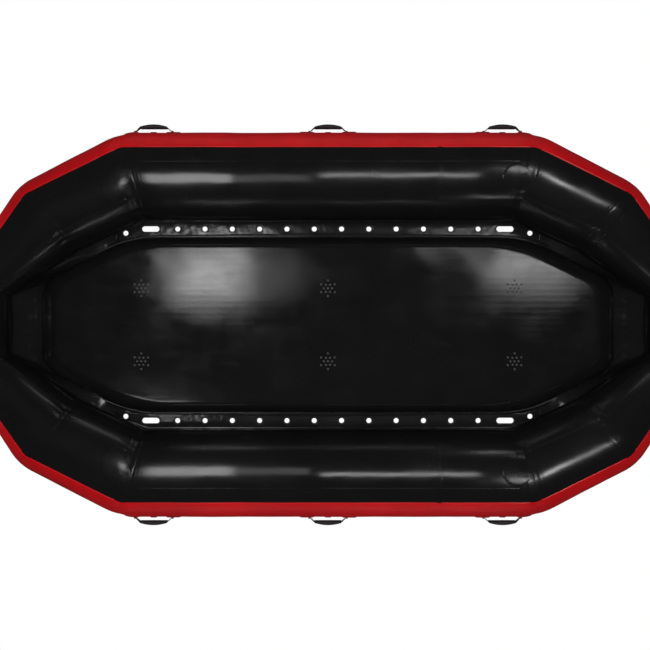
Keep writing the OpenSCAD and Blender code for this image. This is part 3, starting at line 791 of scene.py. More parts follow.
def build_edge_tape(look, tape):
    """Tape over the line where the strips and skirts meet the floor, all the way round: from the
    strip over the floor's edge and a little way up its shoulder."""
    edge, flat = whole(FLOOR.edge_quadrant()), whole(FLOOR.flat_quadrant())
    out = unit(edge - flat)
    rows = []
    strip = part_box("drain_strip_port")[1][2]
    for share, lift in ((1.0, 0.2), (0.97, 1.0), (0.9, 1.4), (0.4, 1.4), (0.12, 1.5)):
        rows.append(at_height(edge + out * share * look.edge_tape, strip + lift * MM))
    for t, lift in ((1.555, 1.7), (1.48, 1.7), (1.40, 1.7), (1.34, 1.5), (1.325, 1.1), (1.32, 0.3)):
        p = flat + (edge - flat) * math.sin(t) + out * lift * MM
        rise = (FLOOR.top - FLOOR.mid) * math.cos(t)
        rows.append(at_height(p, FLOOR.mid + rise + lift * MM * 0.7))
    length = np.cumsum(np.linalg.norm(np.diff(edge, axis=0, prepend=edge[:1]), axis=-1))
    uv = spread_uv(length, np.arange(len(rows)) * 4 * MM)
    piece = grid_piece("floor_edge_tape", np.stack(rows), uv, flip=True, closed=True,
                       material=tape, slot="seam_tape")
    thicken(piece, TAPE_WALL)


def build_studs(look, rubber):
    """Low round studs: a profile of rings from the skin up a rounded side to a slightly domed
    top."""
    studs = corners("grip_studs")
    low = studs[:, 2].min()
    feet = np.unique(np.round(studs[studs[:, 2] < low + 0.1 * MM], 4), axis=0)
    centres, radius = stud_centres(feet)
    profile = ((1.05, 0.0), (1.0, 0.55), (0.93, 0.9), (0.8, 1.0), (0.45, 1.12), (0.0, 1.16))
    turns = np.linspace(0, FULL_TURN, 14, endpoint=False)
    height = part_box("grip_studs")[1][2] - low
    parts = []
    for x, y in centres:
        base = FLOOR.top + float(floor_relief(np.array(x), np.array(y), look)) - 0.2 * MM
        rings = [[x + radius * r * math.cos(a), y + radius * r * math.sin(a), base + height * h]
                 for r, h in profile[:-1] for a in turns]
        tip = len(rings)
        faces = quads(len(profile) - 1, len(turns), wrap_columns=True).tolist()
        faces += [[tip - 14 + j, tip - 14 + (j + 1) % 14, tip] for j in range(14)]
        faces.append(list(range(13, -1, -1)))
        faces = [f[::-1] if len(f) == 4 else f for f in faces]
        points = np.array(rings + [[x, y, base + height * profile[-1][1]]])
        parts.append((points, faces, points[:, :2]))
    joined_piece("grip_studs_rubber", parts, material=rubber, nodes=["grip_studs"],
                 slot="stud_rubber")


def stud_centres(feet):
    """Centres and radius of the studs, from the corners of their feet: corners of one stud lie
    closer together than two studs, so each corner joins the first group within a stud's width."""
    groups = []
    for p in feet:
        for g in groups:
            if np.hypot(*(np.mean(g, axis=0) - p[:2])) < 8 * MM:
                g.append(p[:2])
                break
        else:
            groups.append([p[:2]])
    centres = [(np.max(g, axis=0) + np.min(g, axis=0)) / 2 for g in groups]
    radius = (np.max(groups[0], axis=0) - np.min(groups[0], axis=0))[0] / 2
    return centres, float(radius)


# ---------------------------------------------------------------- strips and skirts


def top_loops(node):
    """The outline and the holes of a flat node's top face: the edges that only one of the face's
    triangles has, linked end to end, the longest loop first."""
    mesh = frame["nodes"][node].data
    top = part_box(node)[1][2]
    follow = {}
    for polygon in mesh.polygons:
        spots = [tuple(round(c, 5) for c in mesh.vertices[i].co) for i in polygon.vertices]
        if all(abs(s[2] - top) < 0.1 * MM for s in spots):
            for a, b in zip(spots, spots[1:] + spots[:1]):
                if follow.get((b, a)) is None:
                    follow[(a, b)] = True
                else:
                    del follow[(b, a)]
    onward = dict(follow.keys())
    loops = []
    while onward:
        start = next(iter(onward))
        loop, spot = [], start
        while spot in onward:
            loop.append(spot[:2])
            spot = onward.pop(spot)
        loops.append(np.array(loop))
    return sorted(loops, key=lambda loop: -np.ptp(loop[:, 0]))


def inside(points, loop):
    """Whether each point is inside a loop, by how often a ray along X crosses it."""
    x, y = points[:, 0, None], points[:, 1, None]
    a, b = loop[None], np.roll(loop, -1, axis=0)[None]
    level = (a[..., 1] > y) != (b[..., 1] > y)
    slope = np.where(level, b[..., 1] - a[..., 1], 1)
    cross = a[..., 0] + (y - a[..., 1]) * (b[..., 0] - a[..., 0]) / slope
    return (level & (x < cross)).sum(axis=1) % 2 == 1


def finer(loop, pitch):
    """A loop with points added so that none are further apart than about a pitch."""
    parts = []
    for a, b in zip(loop, np.roll(loop, -1, axis=0)):
        count = max(1, round(float(np.linalg.norm(b - a)) / pitch))
        parts.append(lerp(a, b, np.linspace(0, 1, count, endpoint=False)[:, None]))
    return np.vstack(parts)


def cut_sheet(loops, pitch):
    """Triangles that fill an outline and leave its holes open, with points on a grid inside it."""
    outline, holes = finer(loops[0], pitch), loops[1:]
    x, y = np.meshgrid(np.arange(outline[:, 0].min(), outline[:, 0].max(), pitch),
                       np.arange(outline[:, 1].min(), outline[:, 1].max(), pitch), indexing="ij")
    grid = np.stack([x.ravel(), y.ravel()], axis=-1)
    rim = np.vstack([outline, *holes])
    keep = inside(grid, outline)
    keep &= np.min(np.linalg.norm(grid[:, None] - rim[None], axis=-1), axis=1) > pitch * 0.45
    for hole in holes:
        keep &= ~inside(grid, hole)
    points = np.vstack([rim, grid[keep]])
    edges, start = [], 0
    for loop in (outline, *holes):
        edges += [(start + i, start + (i + 1) % len(loop)) for i in range(len(loop))]
        start += len(loop)
    spots, _, faces, _, _, _ = delaunay_2d_cdt([Vector(p) for p in points], edges, [], 1, 1e-6)
    spots = np.array(spots)
    middle = np.array([spots[f].mean(axis=0) for f in faces])
    open_here = np.zeros(len(faces), dtype=bool)
    for hole in holes:
        open_here |= inside(middle, hole)
    faces = [f for f, gone in zip(faces, open_here) if not gone]
    return spots, faces


def flat_area(points, faces):
    """Area of a mesh, as the sum of its faces' triangles."""
    total = 0.0
    for i in range(1, len(faces[0]) - 1):
        f = np.asarray(faces)[:, [0, i, i + 1]]
        sides = np.cross(points[f[:, 1]] - points[f[:, 0]], points[f[:, 2]] - points[f[:, 0]])
        total += float(np.linalg.norm(sides, axis=-1).sum()) / 2
    return total


# How far the strips' and skirts' edges reach into the tubes: everywhere, and more at a joint.
TUCK, JOINT_TUCK, TUCK_SPREAD = 1 * MM, 6 * MM, 60 * MM


def build_strips(look, cloth):
    """The perforated strips: flat sheets cut to the outline and the holes of their nodes, drawn
    into slight waves between the tube and the floor. The tube edge is tucked in at the joints. The
    finished surface's area is worked out. The width and length declared are the flat node's, and
    the area is the finished surface's own."""
    for side in ("port", "starboard"):
        node = "drain_strip_" + side
        loops = top_loops(node)
        spots, faces = cut_sheet(loops, 9 * MM)
        low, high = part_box(node)
        middle, half = (low[1] + high[1]) / 2, (high[1] - low[1]) / 2
        free = np.clip(1 - ((spots[:, 1] - middle) / half) ** 2, 0, 1)
        wave = look.strip_waves * (waves(spots[:, 0], spots[:, 1] * 0.4, 21, 0.13)
                                     + 0.5 * waves(spots[:, 0], spots[:, 1], 22, 0.045)) * free
        points = np.column_stack([spots, high[2] + wave])
        out = np.abs(points[:, 1])
        joint = HULL.ring(0, np.array(LAP))[0]
        tuck = TUCK + JOINT_TUCK * bump_at(np.abs(points[:, 0]), joint, TUCK_SPREAD)
        near = smooth(out.max() - 25 * MM, out.max(), out)
        points[:, 1] += np.sign(points[:, 1]) * tuck * near
        piece = new_piece(node + "_cloth", points, faces, uv=spots, material=cloth,
                          nodes=[node], slot="strip_cloth")
        thicken(piece, high[2] - low[2])
        flat_area(points, faces)


def evenly(path, count):
    """Points an equal distance apart along a path."""
    far = np.concatenate([[0], np.cumsum(np.linalg.norm(np.diff(path, axis=0), axis=-1))])
    at = np.linspace(0, far[-1], count)
    return np.stack([np.interp(at, far, path[:, i]) for i in range(path.shape[1])], axis=-1)


def after(path, x):
    """The part of a path past a distance x from amidships, started exactly there."""
    i = int(np.argmax(path[:, 0] > x))
    share = (x - path[i - 1, 0]) / (path[i, 0] - path[i - 1, 0])
    return np.vstack([lerp(path[i - 1], path[i], share), path[i:]])


def skirt_edges(x_start, count):
    """The two edges of a skirt, from the strip's port end to amidships: on the tubes, and on the
    floor's edge. Each is cut where it passes x_start and then shared out evenly. The tube edge is
    tucked in where the cloth is drawn in along the joints."""
    first, second, end = TUBES["first"], TUBES["second"], TUBES["end"]
    s = np.linspace(0.3, 1, 80)
    strip_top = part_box("drain_strip_port")[1][2]
    axis_z = lerp(first.centres[0][2], first.centres[1][2], s)
    radius = lerp(HULL.r[0], HULL.r[1], s)
    low_angle = math.pi + np.arcsin(np.clip((axis_z - strip_top) / radius, -1, 1))
    share = np.clip((s - 0.42) / 0.58, 0, 1)
    angle = lerp(low_angle, LAP, share)
    a, b = first.ring(0, angle), first.ring(1, angle)
    lap = np.array(LAP)
    p1 = lerp(a, b, s[:, None])
    p2 = lerp(second.ring(0, lap), second.ring(1, lap), np.linspace(0, 1, 40)[1:, None])
    p3 = lerp(end.ring(0, lap), end.ring(1, lap), np.linspace(0, 0.5, 30)[1:, None])
    floor = at_height(FLOOR.edge_quadrant(), FLOOR.mid)
    split = after(p1, x_start)
    knee = len(split) + 39
    tubes = np.vstack([split, p2, p3])
    floor = after(floor, x_start)
    bend = int(np.argmin(np.linalg.norm(floor[:, :2] - (FLOOR.end, FLOOR.end_y), axis=-1)))
    tubes, floor = (np.vstack([evenly(path[:cut + 1], count)[:-1], evenly(path[cut:], count // 2)])
                    for path, cut in ((tubes, knee - 1), (floor, bend)))
    at_joint = sum(bump_at(np.linalg.norm(tubes - joint, axis=-1), 0, TUCK_SPREAD)
                   for joint in (p1[-1], p2[-1]))
    return tubes + unit(tubes - floor) * (TUCK + JOINT_TUCK * at_joint[:, None]), floor


def skirt_surface(look, x_start, shift=0.0):
    """Ruled surface between a skirt's two edges, let down along a parabola, with folds that run
    from edge to edge and fade towards both. It comes with the distance along and across."""
    tubes, floor = skirt_edges(x_start, 70)
    tubes = np.vstack([tubes, tubes[:-1][::-1] * (1, -1, 1)])
    floor = np.vstack([floor, floor[:-1][::-1] * (1, -1, 1)])
    t = np.linspace(0, 1, 13)
    grid = lerp(tubes[None], floor[None], t[:, None, None])
    along = np.concatenate([[0], np.cumsum(np.linalg.norm(np.diff(floor, axis=0), axis=-1))])
    width = np.linalg.norm(tubes - floor, axis=-1)
    free = np.sin(math.pi * t)[:, None]
    folds = waves(along[None] * 3, t[:, None] * width[None], 31, 0.2)
    grid[..., 2] += free * (look.strip_waves * 2 * folds - look.skirt_sag) + shift
    uv = np.stack([np.broadcast_to(along, grid.shape[:2]), t[:, None] * width[None]], axis=-1)
    return grid, uv


def build_skirts(look, cloth):
    """The skirts that close the floor's ends and corners to the tubes."""
    x_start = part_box("drain_strip_port")[1][0] - 0.5 * MM
    for end, sign in (("bow", 1), ("stern", -1)):
        grid, uv = skirt_surface(look, x_start)
        grid = grid * (sign, 1, 1)
        piece = grid_piece(f"{end}_skirt_cloth", grid, uv, flip=sign > 0, material=cloth,
                           nodes=[f"{end}_skirt"], slot="strip_cloth")
        thicken(piece, 2 * MM, offset=0)
        points = grid.reshape(-1, 3)
        flat_area(points, quads(*grid.shape[:2]))


def build_lap_tapes(look, tape):
    """Tapes over the lines where the strips and skirts are glued to the tubes."""
    bands = []
    for side, y in (("port", 1), ("starboard", -1)):
        outline = finer(top_loops("drain_strip_" + side)[0], 12 * MM)
        x_end = outline[:, 0].max()
        x = np.linspace(-x_end + 4 * MM, x_end - 4 * MM, 200)
        outer = outline[np.abs(outline[:, 1]) > np.abs(outline[:, 1]).max() - 60 * MM]
        outer = outer[np.argsort(outer[:, 0])]
        floor_y = np.interp(np.abs(outer[:, 0]), *FLOOR.edge_quadrant().T)
        keep = np.abs(outer[:, 1]) > floor_y + 30 * MM
        line = np.interp(x, outer[keep][:, 0], outer[keep][:, 1])
        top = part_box("drain_strip_" + side)[1][2]
        rows = [np.column_stack([x, line - y * reach, np.full(len(x), top + lift)])
                for reach, lift in ((0.5 * MM, 1.6 * MM), (12 * MM, 1.6 * MM), (23 * MM, 1.6 * MM),
                                    (24 * MM, 1.1 * MM), (24.3 * MM, 0.2 * MM))]
        grid = np.stack(rows)
        uv = np.stack([np.broadcast_to(x, grid.shape[:2]), grid[..., 1]], axis=-1)
        bands.append((grid, uv, y > 0))
    x_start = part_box("drain_strip_port")[1][0] - 0.5 * MM
    for sign in (1, -1):
        grid, uv = skirt_surface(look, x_start, 2.4 * MM)
        wide = np.linalg.norm(grid[0] - grid[-1], axis=-1)
        band = lerp(grid[0][None], grid[-1][None],
                    (np.array([0.0, 12, 23, 24, 24.3])[:, None] * MM / wide)[..., None])
        band = band - np.array([0, 0, 1.0]) * np.array([0, 0, 0, 0.5, 1.4])[:, None, None] * MM
        bands.append((band * (sign, 1, 1), spread_uv(uv[0, :, 0], np.arange(5) * 6 * MM), sign > 0))
    bands_piece("lap_tapes", bands, TAPE_WALL, material=tape, slot="seam_tape")


# ---------------------------------------------------------------- handles


def swept(centres, across, up, section):
    """A profile carried along a path: at each point its section's two columns lie along the point's
    own across and up directions. section is one profile, or one for each point."""
    section = np.broadcast_to(section, (len(centres), *np.shape(section)[-2:]))
    return (centres[:, None] + across[:, None] * section[..., :1] + up[:, None] * section[..., 1:])


def capped(grid, flip=False):
    """Faces of a closed sweep with both ends filled."""
    rows, columns = grid.shape[:2]
    faces = quads(rows, columns, wrap_columns=True).tolist()
    faces.append(list(range(columns))[::-1])
    faces.append([(rows - 1) * columns + j for j in range(columns)])
    return facing(faces, flip)


def rounded_section(width, height, corner, steps=4):
    """Outline of a rectangle with round corners."""
    parts = []
    for i, (x, y) in enumerate(((1, 1), (-1, 1), (-1, -1), (1, -1))):
        a = np.linspace(i, i + 1, steps) * math.pi / 2
        parts.append(np.column_stack([x * (width / 2 - corner) + corner * np.cos(a),
                                      y * (height / 2 - corner) + corner * np.sin(a)]))
    return np.vstack(parts)


class Handle:
    """One carry handle: its place on the tube, with X along the tube and Y outward, and its sizes,
    read from its strap's and grip's boxes."""

    def __init__(self, name):
        self.name = name
        self.body = body_of(frame["nodes"]["strap_" + name])[0]
        low, high = (np.array(c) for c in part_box("strap_" + name))
        middle, size = (low + high) / 2, high - low
        self.on_end = size[1] > size[0]
        ways = np.diag(np.sign(middle))
        self.out = ways[0 if self.on_end else 1]
        self.along = np.array([self.out[1], -self.out[0], 0])
        self.half = float(size[1] if self.on_end else size[0]) / 2
        skin = HULL.c[2][0] + HULL.r[2] if self.on_end else HULL.c[0][1] + HULL.r[0]
        self.origin = middle * np.abs(self.along) + self.out * skin + (0, 0, middle[2])
        low, high = (np.array(c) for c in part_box("grip_" + name))
        size = high - low
        self.grip_half = float(size[1] if self.on_end else size[0]) / 2
        self.grip_high = float(size[2])
        self.reach = float((high if self.out.sum() > 0 else -low) @ np.abs(self.out)) - skin

    def at(self, points):
        """Points of the handle's own frame on the boat."""
        p = np.asarray(points, dtype=float)
        return (self.origin + p[..., :1] * self.along + p[..., 1:2] * self.out
                + p[..., 2:] * np.array([0, 0, 1.0]))


HANDLES = [Handle(name.removeprefix("strap_")) for name in sorted(frame["nodes"])
           if name.startswith("strap_")]


def grip_path(handle, x, thick):
    """The arc that the middle of a grip follows: a parabola through its middle and its two ends."""
    middle = handle.reach - thick / 2
    return np.column_stack([x, middle - 5 * MM * (x / handle.grip_half) ** 2, np.zeros(len(x))])


def path_frames(centres):
    """Directions across a flat path, to its left, and straight up."""
    along = unit(np.gradient(centres, axis=0))
    left = np.column_stack([-along[:, 1], along[:, 0], np.zeros(len(along))])
    return left, np.broadcast_to((0.0, 0.0, 1.0), left.shape)


def build_handle(handle, black, rubber, thread):
    """Strap, grip and stitches of one handle. The grip is a sweep whose section swells towards the
    middle, closes over its last millimetres, and has shallow ribs under the fingers."""
    thick = 20 * MM
    s = np.sin(np.linspace(-math.pi / 2, math.pi / 2, 90))
    centres = grip_path(handle, s * handle.grip_half, thick)
    left, up = path_frames(centres)
    close = np.sqrt(np.clip(1 - (np.clip((np.abs(s) - 0.93) / 0.07, 0, 1)) ** 2, 0.02, 1))
    swell = (1 - 0.58 * s ** 2) * close
    rib = 1 + 0.028 * np.cos(s * FULL_TURN * 9) * smooth(0.85, 0.7, np.abs(s))
    outline = rounded_section(1.0, 1.0, 0.46, 7)
    section = outline[None] * np.column_stack([thick * swell * rib,
                                               handle.grip_high * (0.55 + 0.45 * close)])[:, None]
    grid = handle.at(swept(centres, left, up, section))
    new_piece(f"grip_{handle.name}_rubber", grid, capped(grid), uv=None, material=rubber,
              body=handle.body, nodes=["grip_" + handle.name], slot="grip_rubber")
    fold = np.array([handle.half - 1.2 * MM, 12 * MM, 0])
    x = np.linspace(-handle.grip_half, handle.grip_half, 40)
    inner = grip_path(handle, x, thick)
    leg = lerp(fold, inner[-1], np.linspace(0, 1, 14)[:-1, None])
    centres = np.vstack([leg * (-1, 1, 1), inner, leg[::-1]])
    left, up = path_frames(centres)
    near_fold = smooth(handle.grip_half, handle.half, np.abs(centres[:, 0]))
    section = rounded_section(1.0, 1.0, 0.5, 4)[None] * np.column_stack(
        [np.full(len(centres), 3 * MM), 24 * MM - 11 * MM * near_fold])[:, None]
    grid = handle.at(swept(centres, left, up, section))
    far = np.cumsum(np.linalg.norm(np.diff(centres, axis=0, prepend=centres[:1]), axis=-1))
    uv = np.stack([np.broadcast_to(far[:, None], grid.shape[:2]),
                   section[..., 1] + 0 * far[:, None]], axis=-1)
    new_piece(f"strap_{handle.name}_webbing", grid, capped(grid), uv=uv, material=black,
              body=handle.body, nodes=["strap_" + handle.name], slot="black_webbing")
    parts = []
    for side in (-1, 1):
        for row in (-1, 1):
            for i in range(4):
                c = lerp(fold, inner[-1], 0.22 + 0.2 * i)
                spot = c * (side, 1, 1) + (0, 2.0 * MM, row * (5.5 + 0.9 * i) * MM)
                parts.append(stitch(handle, spot, (2.4 * MM, 0.5 * MM, 0.5 * MM)))
    joined_piece(f"stitches_{handle.name}", parts, material=thread, body=handle.body,
                 slot="black_webbing")


def stitch(handle, spot, half):
    """One raised stitch: a short six-sided bead along the handle's X that narrows to its ends."""
    s = np.linspace(-1, 1, 5)
    a = np.linspace(0, FULL_TURN, 6, endpoint=False)
    r = np.sqrt(1 - 0.85 * s ** 2)
    along = np.broadcast_to((s * half[0])[:, None], (5, 6))
    grid = np.stack([along, np.outer(r, np.cos(a)) * half[1], np.outer(r, np.sin(a)) * half[2]],
                    axis=-1) + spot
    points = handle.at(grid).reshape(-1, 3)
    return points, capped(grid), points[:, :2]


def on_tube(handle, x, up, off, relief):
    """Points on the skin under a handle, x along its tube and up around it from its outmost
    line."""
    tube = TUBES["end" if handle.on_end else "side"]
    signs = (int(handle.out[0]), 1) if handle.on_end else (1, int(handle.out[1]))
    angle = up / tube.radius
    spot = (handle.origin + x[..., None] * handle.along) * (*signs, 1)
    a, b = tube.ring(0, angle), tube.ring(1, angle)
    way = unit(tube.centres[1] - tube.centres[0])
    s = ((spot - a) @ way) / ((b - a) @ way)
    return tube.skin(s, angle, off, relief, signs)[0]


def squared(v):
    """Pushes a sine or cosine out towards 1 or -1, which turns a circle into a rounded square."""
    return np.sign(v) * np.abs(v) ** 0.35


def build_bases(look, red):
    """Glued pads with rounded corners, webbing lugs that hold the straps, and the lifeline
    loops."""
    relief = Relief(look)
    pads, lugs, loops = [], [], []
    for handle in HANDLES:
        for side in (-1, 1):
            rho, phi = polar([0.1, 0.4, 0.7, 0.86, 0.88, 0.95, 0.98, 1.0], 56)
            x = side * (handle.half + 12.8 * MM) + rho * 30 * MM * squared(np.cos(phi))
            up = rho * 35 * MM * squared(np.sin(phi))
            height = np.select([rho > 0.99, rho > 0.96, rho > 0.87], [0.3, 2.4, 3.1], 2.7) * MM
            pads.append(disc(on_tube(handle, x, up, height, relief), x, up))
            a = np.linspace(-math.pi / 2, math.pi / 2, 9)
            bow = np.column_stack([12 + 4.5 * np.cos(a), 4.5 * np.sin(a)])
            profile = np.vstack([[[2.4, -6.5], [4.5, -5.2]], bow, [[4.5, 5.2], [2.4, 6.5]]]) * MM
            rows = []
            for reach, size in ((0.35, 0.9), (0.9, 1.0), (7.4, 1.0), (8.2, 0.9)):
                p = profile * (1, size)
                spot = handle.half + (reach - 1) * MM
                rows.append(np.column_stack([np.full(len(p), side * spot), p]))
            grid = np.stack(rows)
            lugs.append((handle.at(grid), capped(grid, flip=side < 0), grid[..., ::2]))
        bend = np.linspace(0, math.pi / 2, 5)
        leg = np.column_stack([12.75 - 3 + 3 * np.cos(bend), 5.75 + 3 * np.sin(bend)])
        path = np.vstack([[[12.75, 0.4]], leg]) * MM
        path = np.vstack([path * (1, 1), path[::-1] * (-1, 1)])
        centres = np.column_stack([path, np.zeros(len(path))])
        left, high = path_frames(centres)
        grid = swept(centres, left, high, rounded_section(2.3 * MM, 12 * MM, 0.8 * MM))
        loops.append((handle.at(grid), capped(grid), grid[..., ::2]))
    for name, parts, nodes in (("handle_pads", pads, ["handle_bases"]), ("handle_lugs", lugs, []),
                               ("lifeline_loops_webbing", loops, ["lifeline_loops"])):
        piece = joined_piece(name, parts, material=red, nodes=nodes, slot="red_webbing")
        if parts is pads:
            thicken(piece, 2.2 * MM)


# ---------------------------------------------------------------- valves and inside


def build_valve_pads(look, cloth):
    """Cloth rings under the valves: on the crest of the end tubes, and flat under the floor's
    stern."""
    relief = Relief(look)
    points = corners("valve_pads")
    parts = []
    for sign in (1, -1):
        mine = points[(points[:, 2] > 0.25) & (points[:, 0] * sign > 0)]
        radius = (mine[:, 1].max() - mine[:, 1].min()) / 2
        rho, phi = polar([0.6, 0.75, 0.9, 0.97, 0.985, 1.0], 72)
        dx, dy = rho * radius * np.cos(phi), rho * radius * np.sin(phi)
        tube = TUBES["end"]
        angle = math.pi / 2 - np.arcsin(np.clip(dx / tube.radius, -1, 1))
        a, b = tube.ring(0, angle), tube.ring(1, angle)
        s = (a[..., 1] - dy) / (a[..., 1] - b[..., 1])
        height = np.select([rho > 0.99, rho > 0.98], [0.2, 0.9], 1.4) * MM
        skin, _ = tube.skin(s, angle, height, relief, (sign, 1))
        faces = quads(*rho.shape, wrap_columns=True)
        parts.append((skin, facing(faces, sign < 0), np.stack([dx, dy], axis=-1)))
    mine = points[points[:, 2] < 0.25]
    middle = (mine.min(axis=0) + mine.max(axis=0)) / 2
    away = mine - middle
    _, _, ways = np.linalg.svd(away, full_matrices=False)
    down = ways[2] * -np.sign(ways[2][2])
    outer = np.linalg.norm(away - np.outer(away @ down, down), axis=1).max()
    rho, phi = polar([0.6, 0.9, 0.985, 1.0], 72)
    across = unit(np.cross(down, (0, 1.0, 0)))
    lift = np.where(rho > 0.99, -0.5, 0.7) * MM
    ring = (middle + rho[..., None] * outer * (np.cos(phi)[..., None] * across
            + np.sin(phi)[..., None] * np.cross(down, across)) + lift[..., None] * down)
    parts.append((ring, quads(*rho.shape, wrap_columns=True), ring[..., :2]))
    piece = joined_piece("valve_pads_cloth", parts, material=cloth, nodes=["valve_pads"],
                         slot="black_coating")
    thicken(piece, 1.2 * MM)


def finish_node(node, material):
    """Gives a node that keeps its own mesh its material."""
    piece = frame["nodes"][node]
    piece.data.materials.clear()
    piece.data.materials.append(material)


def build_valves(plastic, poppet, steel):
    """Gives the valves' own meshes their plastic and steel."""
    for node in frame["nodes"]:
        if node in ("valve_bodies", "valve_nuts") or "cap" in node:
            finish_node(node, plastic)
        elif "poppet" in node:
            finish_node(node, poppet)
        elif "spring" in node:
            finish_node(node, steel)


# ---------------------------------------------------------------- stage


def softbox(name, low, high, glow, sheen=True, fill=False, only=None):
    """A flat lamp with corners low and high, facing down. Its power gives every size the same glow.
    sheen says whether gloss mirrors it, fill whether it lights matt cloth, and only names the one
    group of pieces that it reaches."""
    data = bpy.data.lights.new(name, "AREA")
    data.shape = "RECTANGLE"
    data.size, data.size_y = high[0] - low[0], high[1] - low[1]
    data.energy = glow * math.pi * data.size * data.size_y
    lamp = bpy.data.objects.new(name, data)
    lamp.location = ((low[0] + high[0]) / 2, (low[1] + high[1]) / 2, (low[2] + high[2]) / 2)
    lamp.visible_camera = False
    lamp.visible_glossy = sheen
    lamp.visible_diffuse = fill
    bpy.context.scene.collection.objects.link(lamp)
    if only is not None:
        lamp.light_linking.receiver_collection = group(only)
    return lamp


def group(name):
    """The collection of that name, made when it is first asked for."""
    return bpy.data.collections.get(name) or bpy.data.collections.new(name)


def aimed(lamp, at):
    lamp.rotation_euler = (Vector(at) - lamp.location).to_track_quat("-Z", "Y").to_euler()


def glowing(name, strength=1.0):
    """A material that only glows white."""
    material = bpy.data.materials.new(name)
    material.use_nodes = True
    tree = material.node_tree
    tree.nodes.clear()
    glow = tree.nodes.new("ShaderNodeEmission")
    out = tree.nodes.new("ShaderNodeOutputMaterial")
    glow.inputs["Color"].default_value = (1, 1, 1, 1)
    glow.inputs["Strength"].default_value = strength
    tree.links.new(glow.outputs[0], out.inputs["Surface"])
    return material


def backdrop(name, points, faces, material):
    """A surface that only the camera sees, so it throws no light on the boat."""
    mesh = bpy.data.meshes.new(name)
    mesh.from_pydata(points, [], faces)
    mesh.materials.append(material)
    sheet = bpy.data.objects.new(name, mesh)
    bpy.context.scene.collection.objects.link(sheet)
    sheet.visible_diffuse = sheet.visible_glossy = sheet.visible_shadow = False
    sheet.visible_transmission = False


def build_stage(studio):
    """Camera, pale floor and backdrop, and soft lamps."""
    scene = bpy.context.scene
    scene.view_settings.view_transform = "Standard"
    camera = bpy.data.objects.new("camera", bpy.data.cameras.new("camera"))
    camera.data.angle = studio.view_angle
    camera.location = (-0.013, -0.001, HULL.c[0][2] + studio.camera_height)
    scene.collection.objects.link(camera)
    scene.camera = camera
    world = bpy.data.worlds.new("studio")
    world.use_nodes = True
    world.node_tree.nodes["Background"].inputs["Color"].default_value = (1, 1, 1, 1)
    world.node_tree.nodes["Background"].inputs["Strength"].default_value = studio.dimness
    scene.world = world
    pale = glowing("pale_floor")
    far = 30.0
    ground = [(x * far, y * far, -2 * MM) for x, y in ((-1, -1), (1, -1), (1, 1), (-1, 1))]
    top = [(x, y, far) for x, y, _ in ground]
    walls = [(i, (i + 1) % 4, 4 + (i + 1) % 4, 4 + i) for i in range(4)]
    backdrop("stage_floor", ground, [(0, 1, 2, 3)], pale)
    backdrop("stage_walls", ground + top, walls, pale)
    softbox("key", (-1.6, -1.2, 3.4), (1.6, 1.2, 3.4), studio.key_glow, sheen=False, fill=True)
    sides = (((0, 3.2, 0.12), (3.6, 0.35)), ((0, -3.2, 0.12), (3.6, 0.35)),
             ((3.6, 0, 0.15), (2.6, 0.4)), ((-3.6, 0, 0.15), (2.6, 0.4)))
    for i, ((x, y, z), (wide, deep)) in enumerate(sides):
        lamp = softbox(f"side_fill_{i}", (x - wide / 2, y - deep / 2, z),
                       (x + wide / 2, y + deep / 2, z), studio.side_glow, sheen=False, fill=True)
        aimed(lamp, (0, 0, 0.15))
    for y in (1, -1):
        for name, start, end, out, wide, glow in (
                ("stern", -0.80, -0.42, 0.0, 0.060, 1.0), ("mid", -0.42, -0.08, 0.0, 0.045, 0.22),
                ("bow", -0.03, 0.66, 0.045, 0.020, 1.1)):
            row = y * (studio.strip_y + out)
            softbox(f"crest_{name}_{y}", (start, row - wide, studio.strip_z),
                    (end, row + wide, studio.strip_z), studio.strip_glow * glow, only="tubes")
        for name, x, row, far, wide, glow in (("bow_knee", 1.17, 0.655, 0.12, 0.030, 1.8),
                                              ("bow_side", 0.99, 0.735, 0.07, 0.045, 3.0)):
            lamp = softbox(f"{name}_{y}", (x - far, y * row - wide, 1.0),
                           (x + far, y * row + wide, 1.0), studio.strip_glow * glow, only="tubes")
            lamp.rotation_euler[2] = -y * math.radians(30)
    for name, low, high, glow in (
            ("stern", (-1.33, 0.25), (-0.72, 0.66), 1.0),
            ("mid", (-0.72, 0.28), (-0.25, 0.66), 0.12),
            ("bow_side", (1.40, 0.46), (2.20, 0.72), 0.75),
            ("bow_mid", (1.40, 0.28), (2.10, 0.46), 0.3),
            ("strip_stern", (-1.33, 0.76), (-0.60, 0.90), 0.7),
            ("strip_bow", (0.85, 0.76), (1.3, 0.90), 0.5),
            ("strip_low", (-1.72, -0.95), (-1.2, -0.78), 0.7)):
        softbox("window_" + name, (*low, 3.1), (*high, 3.1), studio.window_glow * glow,
                only="inboard")


# ---------------------------------------------------------------- settings, operators and panel


def length(name, description, low, high, default):
    return bpy.props.FloatProperty(name=name, description=description, unit="LENGTH",
                                   min=low, max=high, default=default)


def turn(name, description, low, high, default):
    return bpy.props.FloatProperty(name=name, description=description, unit="ROTATION",
                                   min=low, max=high, default=default)


def glow(name, description, high, default):
    return bpy.props.FloatProperty(name=name, description=description, min=0, max=high,
                                   default=default)


def share(name, description, default):
    return bpy.props.FloatProperty(name=name, description=description, subtype="FACTOR",
                                   min=0, max=1, default=default)


def colour(name, description, default):
    return bpy.props.FloatVectorProperty(name=name, description=description, subtype="COLOR",
                                         size=4, min=0, max=1, default=default)


